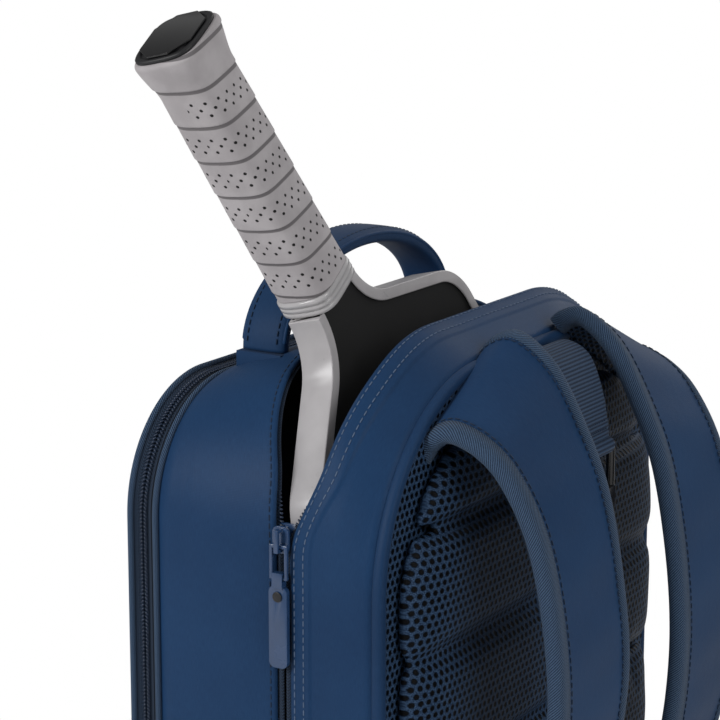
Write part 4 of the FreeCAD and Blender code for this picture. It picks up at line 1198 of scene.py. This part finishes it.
for k, side in enumerate((-1, 1)):
    edge_line = handle_line[1:-1] + np.array([0, side * 11.7 * mm, 0]) + 1.5 * mm * outward
    sewn = [tube(f"handle_piping_{k}", edge_line[2:-2], 1.2 * mm, None, "handle_fabric", navy_cloth,
                 across=(0, 1, 0))]
    seam = handle_line[3:-3] + np.array([0, side * 8.6 * mm, 0]) + 3.9 * mm * outward[2:-2]
    sewn.append(stitch_row(f"handle_stitches_{k}", seam, outward[2:-2], None, thread_dark,
                           slot="handle_fabric"))
    for piece in sewn + [handle] * (k == 1):
        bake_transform(piece)
for label in ("right", "left"):
    moulding(f"handle_anchor_{label}", "bag", handle_cloth, 0.6 * mm)
print("handle:", len(handle.data.polygons), "faces")


# %% [markdown]
# ## Side pockets
# Each pocket is one bellied sheet round three sides, gathered at the top by an elastic hem,
# with a floor under it.

# %% Side pockets
for label, sign in (("right", 1), ("left", -1)):
    low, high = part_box(f"side_pocket_{label}")
    near, far = (low.x, high.x) if sign > 0 else (high.x, low.x)
    reach, length, corner = abs(far - near), high.y, 18 * mm
    a = np.linspace(0, math.pi / 2, 16)
    front_bend = np.stack([reach - corner + corner * np.sin(a),
                           -length + corner * (1 - np.cos(a))], 1)
    rear_bend = np.stack([reach - corner * (1 - np.cos(a)),
                          length - corner + corner * np.sin(a)], 1)
    plan = np.concatenate([[[0, -length]], front_bend, rear_bend, [[0, length]]])
    walk = np.concatenate([[0], np.cumsum(np.linalg.norm(np.diff(plan, axis=0), axis=1))])
    even = np.linspace(0, walk[-1], 80)
    plan = np.stack([np.interp(even, walk, plan[:, i]) for i in (0, 1)], 1)
    up = np.linspace(0, 1, 40)
    draw = 1 - 0.05 * ease((up - 0.7) / 0.3) - 0.03 * ease((0.12 - up) / 0.12)
    belly = 1 - draw[None, :, None]
    rows = np.broadcast_to(plan[:, None], (80, 40, 2)) * (1 - belly)
    gather = 0.5 * mm * np.sin(np.arange(80) * 1.15)[:, None] * ease((up - 0.86) / 0.14)[None]
    proud = rows[..., 0] - 0.6 * mm + gather * (rows[..., 0] > 2 * mm)
    tall = low.z + 0.4 * mm + up * (high.z - low.z - 1.4 * mm)
    points = np.stack([near + sign * proud, rows[..., 1], np.broadcast_to(tall, (80, 40))], -1)
    points[..., 0] = near + sign * np.maximum(sign * (points[..., 0] - near), 0.1 * mm)
    wall = grid_piece(f"side_pocket_cloth_{label}", points, "bag", "shell_fabric", navy_cloth,
                      lining_cloth, flip=sign < 0)
    thicken(wall, 1.4 * mm, inner_slot=1)
    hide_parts(f"side_pocket_{label}")
    hem = points[:, -1] - np.array([0, 0, 2.4 * mm])
    tube(f"side_pocket_hem_{label}", hem, 2.2 * mm, "bag", "binding", binding_twill,
         across=(0, 0, 1))
    rim = points[:, 0]
    to_middle = np.array([near + sign * 0.3 * mm, 0, rim[0, 2]]) - rim
    floor_rows = np.stack([rim + to_middle * k for k in np.linspace(0, 1, 8)], 1)
    sole = grid_piece(f"side_pocket_floor_{label}", floor_rows, "bag", "shell_fabric",
                      navy_cloth, flip=sign > 0)
    thicken(sole, 1.4 * mm)
    print(label, "side pocket:", round((high.z - low.z) * 1000, 1), "mm tall")


# %% [markdown]
# ## Back pads
# Foam pillows faced with spacer mesh, one per panel between the sewn channels. Each starts
# as a lens a little smaller than its panel. A short cloth run with air pressure and no
# gravity swells it, and no point may move further than the cap. The back stays on the
# board.

# %% Pillow blanks
pads_low, pads_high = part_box("back_pads")
PAD_RADIUS = 91 * mm
channels = [z for z in (388 - 62 * np.arange(8)) * mm if z > pads_low.z + 12 * mm]
edges = [pads_high.z] + channels + [pads_low.z]


def pad_half_width(z):
    """Half width of the padded back at height z: straight below, a quarter circle above."""
    over = np.clip(z - (pads_high.z - PAD_RADIUS), 0, PAD_RADIUS)
    return pads_high.x - PAD_RADIUS + np.sqrt(np.maximum(PAD_RADIUS**2 - over**2, 0))


def pad_blank(z_low, z_high, count=64, rows=18):
    """A closed lens between two channels, as a front grid and a flat back grid.

    Its depth is the thickness times the root of (1 - s^10) times the root of (1 - v^6).
    """
    s, v = np.meshgrid(np.sin(np.linspace(-math.pi / 2, math.pi / 2, count)),
                       np.sin(np.linspace(-math.pi / 2, math.pi / 2, rows)), indexing="ij")
    z = (z_low + z_high) / 2 + v * ((z_high - z_low) / 2 - 1.6 * mm)
    half = pad_half_width(z) + 0.8 * mm
    deep = ((pads_high.y - pads_low.y) * np.sqrt(np.clip(1 - s**10, 0, 1))
            * np.sqrt(np.clip(1 - v**6, 0, 1)))
    front = np.stack([s * half, pads_low.y + 0.15 * mm + 0.82 * deep, z], -1)
    back = np.stack([s * half, np.full_like(z, pads_low.y + 0.1 * mm), z], -1)
    return front, back


print("pads:", len(edges) - 1, "panels between", len(channels), "channels")

# %% [markdown]
# A remesh needs one closed skin, so the front and the back of every lens go into one mesh
# and their touching borders are welded.

# %% Joining the blanks
def join_grids(name, grids, body, material):
    """Several grids as one mesh, each pair of touching borders welded."""
    work = bmesh.new()
    for points, flip in grids:
        rows, columns = points.shape[:2]
        verts = [work.verts.new(p) for p in points.reshape(-1, 3)]
        for i in range(rows - 1):
            for j in range(columns - 1):
                ring = [verts[i * columns + j], verts[(i + 1) * columns + j],
                        verts[(i + 1) * columns + j + 1], verts[i * columns + j + 1]]
                work.faces.new(ring[::-1] if flip else ring)
    bmesh.ops.remove_doubles(work, verts=work.verts, dist=0.12 * mm)
    bmesh.ops.recalc_face_normals(work, faces=work.faces)
    mesh = bpy.data.meshes.new(name)
    work.to_mesh(mesh)
    work.free()
    mesh.materials.append(material)
    piece = bpy.data.objects.new(name, mesh)
    bpy.context.scene.collection.objects.link(piece)
    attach(piece, body)
    return piece


def bake(piece):
    """Replaces the mesh by what its modifiers make of it, and removes them."""
    evaluated = piece.evaluated_get(bpy.context.evaluated_depsgraph_get())
    seen_mesh = bpy.data.meshes.new_from_object(evaluated)
    piece.modifiers.clear()
    piece.data = seen_mesh
    return np.array([v.co for v in seen_mesh.vertices])


# %% [markdown]
# The cloth run is kept short and its result is held to the cap: air pressure pushes every
# point outwards, then each point is pulled back to within 3 mm of where it began.

# %% Swelling
def swell(piece, voxel, pressure, cap, frames=20):
    """Remesh, blow up as cloth for some frames, and keep each point within cap of its start."""
    remesh = piece.modifiers.new("remesh", "REMESH")
    remesh.mode = "VOXEL"
    remesh.voxel_size = voxel
    start = bake(piece)
    run = piece.modifiers.new("swell", "CLOTH")
    run.settings.quality = 4
    run.settings.mass = 0.2
    run.settings.use_pressure = True
    run.settings.uniform_pressure_force = pressure
    run.settings.effector_weights.gravity = 0
    run.point_cache.frame_start, run.point_cache.frame_end = 1, frames
    for frame_number in range(1, frames + 1):
        bpy.context.scene.frame_set(frame_number)
    blown = bake(piece)
    moved = blown - start
    far = np.linalg.norm(moved, axis=1, keepdims=True)
    kept = start + moved * np.minimum(1, cap / np.maximum(far, 1e-9))
    bpy.context.scene.frame_set(1)
    return kept


blanks = [(grid, flip) for low, high in zip(edges[1:], edges[:-1])
          for grid, flip in zip(pad_blank(low, high), (True, False))]
pads = join_grids("back_pad_pillows", blanks, "bag", mesh_on_pads)
kept = swell(pads, voxel=4 * mm, pressure=4.0, cap=3.0 * mm)
kept[:, 1] = np.clip(kept[:, 1], pads_low.y, pads_high.y + 1.5 * mm)
pads.data.vertices.foreach_set("co", kept.astype(np.float32).ravel())
pads.data.polygons.foreach_set("use_smooth", np.ones(len(pads.data.polygons), bool))
finer = pads.modifiers.new("finer", "SUBSURF")
finer.levels = finer.render_levels = 1
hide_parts("back_pads")
print("pads:", len(pads.data.polygons), "faces, at most",
      round(float(kept[:, 1].max() - pads_low.y) * 1000, 1), "mm deep")


# %% [markdown]
# A near-black strip lies in each channel as painted shade in the groove, with one stitched row
# along it.

# %% Shade strips in the channels
for k, z in enumerate(channels):
    half = float(pad_half_width(np.array(z))) - 15 * mm
    x = np.linspace(-half, half, 60)
    row = np.stack([x, np.full(60, pads_low.y + 1.6 * mm), np.full(60, z)], 1)
    up = np.broadcast_to((0.0, 0.0, 1.0), row.shape)
    # painted shade: a near-black strip of lining cloth darkens each channel as a groove in shade
    grid_piece(f"channel_tape_{k}", sweep(row, up, ring_profile(3.0 * mm, 1.0 * mm, 12, 0.6)),
               "bag", "mesh_foam", lining_cloth, closed_v=True, flip=True)
    stitch_row(f"channel_stitches_{k}", row + np.array([0, 1.0 * mm, 0]),
               np.broadcast_to((0.0, 1.0, 0.0), row.shape), "bag", thread_dark, slot="mesh_foam")
print("channel tapes:", len(channels))


# %% [markdown]
# ## The paddle
# Everything here is placed in the paddle's own frame: first axis across the face, second
# through it, third towards the butt, origin at the neck.

# %% Paddle frame
LEAN = np.array(Matrix.Rotation(math.radians(13), 3, "X")
                @ Matrix.Rotation(math.radians(30), 3, "Y"))
NECK = np.array([88.0, 0.0, 486.0]) * mm


def in_bag(points):
    """Paddle coordinates to the bag's."""
    return points @ LEAN.T + NECK


def grip_ring(width, depth, count=96, corner=0.5):
    """A bevelled grip's section: an eight-sided rounded outline.

    The radius in each direction is the smaller of the rectangle's and the corner cut's,
    blended by a high power mean so that the edges are soft.
    """
    turn = np.linspace(0, 2 * np.pi, count, endpoint=False)
    c, s = np.abs(np.cos(turn)), np.abs(np.sin(turn))
    a, b = width / 2, depth / 2
    cut = (a + b) * (1 - 0.5 * corner * 0.52)
    power = 9.0
    size = ((c / a) ** power + (s / b) ** power + ((c + s) / cut) ** power) ** (-1 / power)
    return np.stack([size * np.cos(turn), size * np.sin(turn)], 1)


# %% [markdown]
# The grip is wound with a strip: each turn laps over the last one, so the surface rises
# slowly along a turn and drops at the lap. The lap's line is drawn dark. Small holes are
# punched in three staggered rows down the middle of the strip.

# %% Grip wrap finish
WRAP, HOLES = 20.0 * mm, 17


def grip_wrap(perimeter):
    """Warm grey strip with dark laps and punched holes, wound at one pitch a turn."""
    maker = Shader("grip_wrap", (0.36, 0.335, 0.345), 0.62, Specular_IOR_Level=0.3,
                   Sheen_Weight=0.1)
    split = maker.node("SeparateXYZ", {0: maker.uv()})
    around, along = split.outputs[0], split.outputs[1]
    wound = maker.maths("MULTIPLY_ADD", around, WRAP / perimeter, along)
    band = maker.maths("WRAP", wound, WRAP, 0.0)
    lap = maker.maths("MINIMUM", band, maker.maths("SUBTRACT", WRAP, band))
    seam = maker.spread(lap, 0.75 * mm, 1.25 * mm)
    cell = Vector((perimeter / HOLES, 6.6 * mm, 1.0))
    across = maker.maths("SUBTRACT", band, WRAP / 2)
    where = maker.node("CombineXYZ", {0: around, 1: across}).outputs[0]
    nearest = maker.to_hole(where, cell)
    middle = maker.maths("ABSOLUTE", across)
    below_butt = maker.maths("LESS_THAN", wound, 7 * WRAP)
    row_mask = maker.maths("MULTIPLY", maker.maths("LESS_THAN", middle, 4.6 * mm), below_butt)
    near = maker.maths("SUBTRACT", 1.0, maker.spread(nearest, 0.6 * mm, 0.9 * mm))
    hole = maker.maths("MULTIPLY", near, row_mask)
    wear = maker.noise(maker.place(), 55.0, 4.0)
    grey = maker.mix(maker.spread(wear, 0.3, 0.7), (0.440, 0.412, 0.424), (0.530, 0.500, 0.512))
    lapped = maker.mix(seam, (0.175, 0.162, 0.168), grey)
    maker.set("Base Color", maker.mix(hole, lapped, (0.006, 0.006, 0.006)))
    maker.bump(maker.noise(maker.place(), 1300.0, 3.0), 0.05 * mm)
    maker.bump(hole, -0.5 * mm)
    return maker.material


# %% [markdown]
# The grip is worked out ring by ring up the handle: each ring is the eight-sided section
# at its height, shrunk by how far the strip has dropped since its last lap.

# %% Grip
def flare(z):
    """Width and depth of the grip at height z: even, then widening over the last 22 mm."""
    share = ease((z - 127 * mm) / (22 * mm))
    return 36 * mm + 6 * mm * share, 31 * mm + 6 * mm * share


ring = grip_ring(36 * mm, 31 * mm)
PERIMETER = float(np.linalg.norm(ring - np.roll(ring, -1, 0), axis=1).sum())
START = 0.98 * float(np.linalg.norm(ring, axis=1).mean())
heights = np.linspace(9.3 * mm, 149 * mm, 560)
walked = np.concatenate([[0], np.cumsum(np.linalg.norm(np.diff(ring, axis=0), axis=1))])
angle_share = walked / PERIMETER
rows = []
for z in heights:
    section = grip_ring(*flare(z))
    phase = np.mod(z - heights[0] + START + WRAP * angle_share, WRAP) / WRAP
    step = 0.55 * mm * (1 - phase) * ease(phase / 0.05) - 0.55 * mm
    past = max(0.0, (z - 146.4 * mm) / (2.6 * mm))
    rim = 2.6 * mm * (1 - math.sqrt(max(0.0, 1 - past**2)))
    scale = 1 + (step - rim) / np.linalg.norm(section, axis=1)
    rows.append(np.column_stack([section * scale[:, None], np.full(len(section), z)]))
rows = np.array(rows)
closing = rows[[0, -1]] * np.array([0.02, 0.02, 1.0])
grip_points = in_bag(np.concatenate([closing[:1], rows, closing[1:]]).transpose(1, 0, 2))
grip = grid_piece("grip_wrap_sleeve", grip_points, "paddle", "grip", grip_wrap(PERIMETER),
                  closed_u=True)
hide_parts("paddle_grip")
moulding("paddle_edge_guard", "paddle", guard_satin, 2.2 * mm, 4)
print("grip:", len(grip.data.polygons), "faces, perimeter", round(PERIMETER * 1000, 1), "mm")

# %% [markdown]
# The collar and the butt cap are turned shapes on the grip's own section. Each is a list of
# rings, every ring being a share of the full size and a height.

# %% Collar, cap and faces
def turned_piece(name, wide, deep, rings, node, slot, material):
    """The grip section, scaled and lifted ring by ring, in place of a frame node."""
    section = grip_ring(wide, deep)
    stack = np.array([np.column_stack([section * k, np.full(96, z)]) for k, z in rings])
    piece = grid_piece(name, in_bag(stack.transpose(1, 0, 2)), "paddle", slot, material,
                       closed_u=True)
    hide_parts(node)


collar_node = bpy.data.objects["paddle_collar"]
collar_points = np.array([collar_node.matrix_world @ v.co for v in collar_node.data.vertices])
collar_local = (collar_points - NECK) @ LEAN
collar_wide, collar_deep = 2 * np.abs(collar_local[:, :2]).max(0)
collar_foot, collar_top = collar_local[:, 2].min(), collar_local[:, 2].max()
laps = [(0.02, 0), (0.93, 0), (1, 0.07), (0.985, 0.32), (0.95, 0.34), (1, 0.40), (0.985, 0.63),
        (0.95, 0.65), (1, 0.71), (0.985, 0.93), (0.95, 1), (0.02, 1)]
turned_piece("collar_laps", collar_wide, collar_deep,
             [(k, collar_foot + share * (collar_top - collar_foot)) for k, share in laps],
             "paddle_collar", "collar", collar_gloss)
rims = [(0.02, 149), (0.90, 149), (0.90, 150.2), (0.87, 150.8), (0.78, 150.8), (0.76, 150.1),
        (0.70, 150.1), (0.69, 150.9), (0.02, 150.9)]
turned_piece("butt_cap_ring", 42 * mm, 37 * mm, [(k, z * mm) for k, z in rims],
             "paddle_butt_cap", "butt_cap", cap_rubber)
moulding("paddle_butt_insert", "paddle", black_gloss, 0.25 * mm, 2)
print("collar:", round(float(collar_wide) * 1000, 1), "by", round(float(collar_deep) * 1000, 1),
      "mm")
for node in ("paddle_face_front", "paddle_face_back"):
    face_with(node, paddle_face)
face_with("paddle_core", core_foam)


# %% [markdown]
# ## Floor
# A plain pale sheet under the bag, staged so that it is no part of it. The camera does not
# see it; it only throws soft light back up.

# %% Floor
floor = bpy.data.objects.new("studio_floor", bpy.data.meshes.new("studio_floor"))
floor.data.from_pydata([(-3, -3, 0), (3, -3, 0), (3, 3, 0), (-3, 3, 0)], [], [(0, 1, 2, 3)])
bpy.context.scene.collection.objects.link(floor)
backdrop = Shader("backdrop", (0.93, 0.93, 0.93), 0.9)
backdrop.set("Base Color", backdrop.mix(backdrop.noise(backdrop.place(), 6.0),
                                        (0.92, 0.92, 0.92), (0.95, 0.95, 0.95)))
floor.data.materials.append(backdrop.material)
floor.visible_camera = False
print("floor: 6 m square")
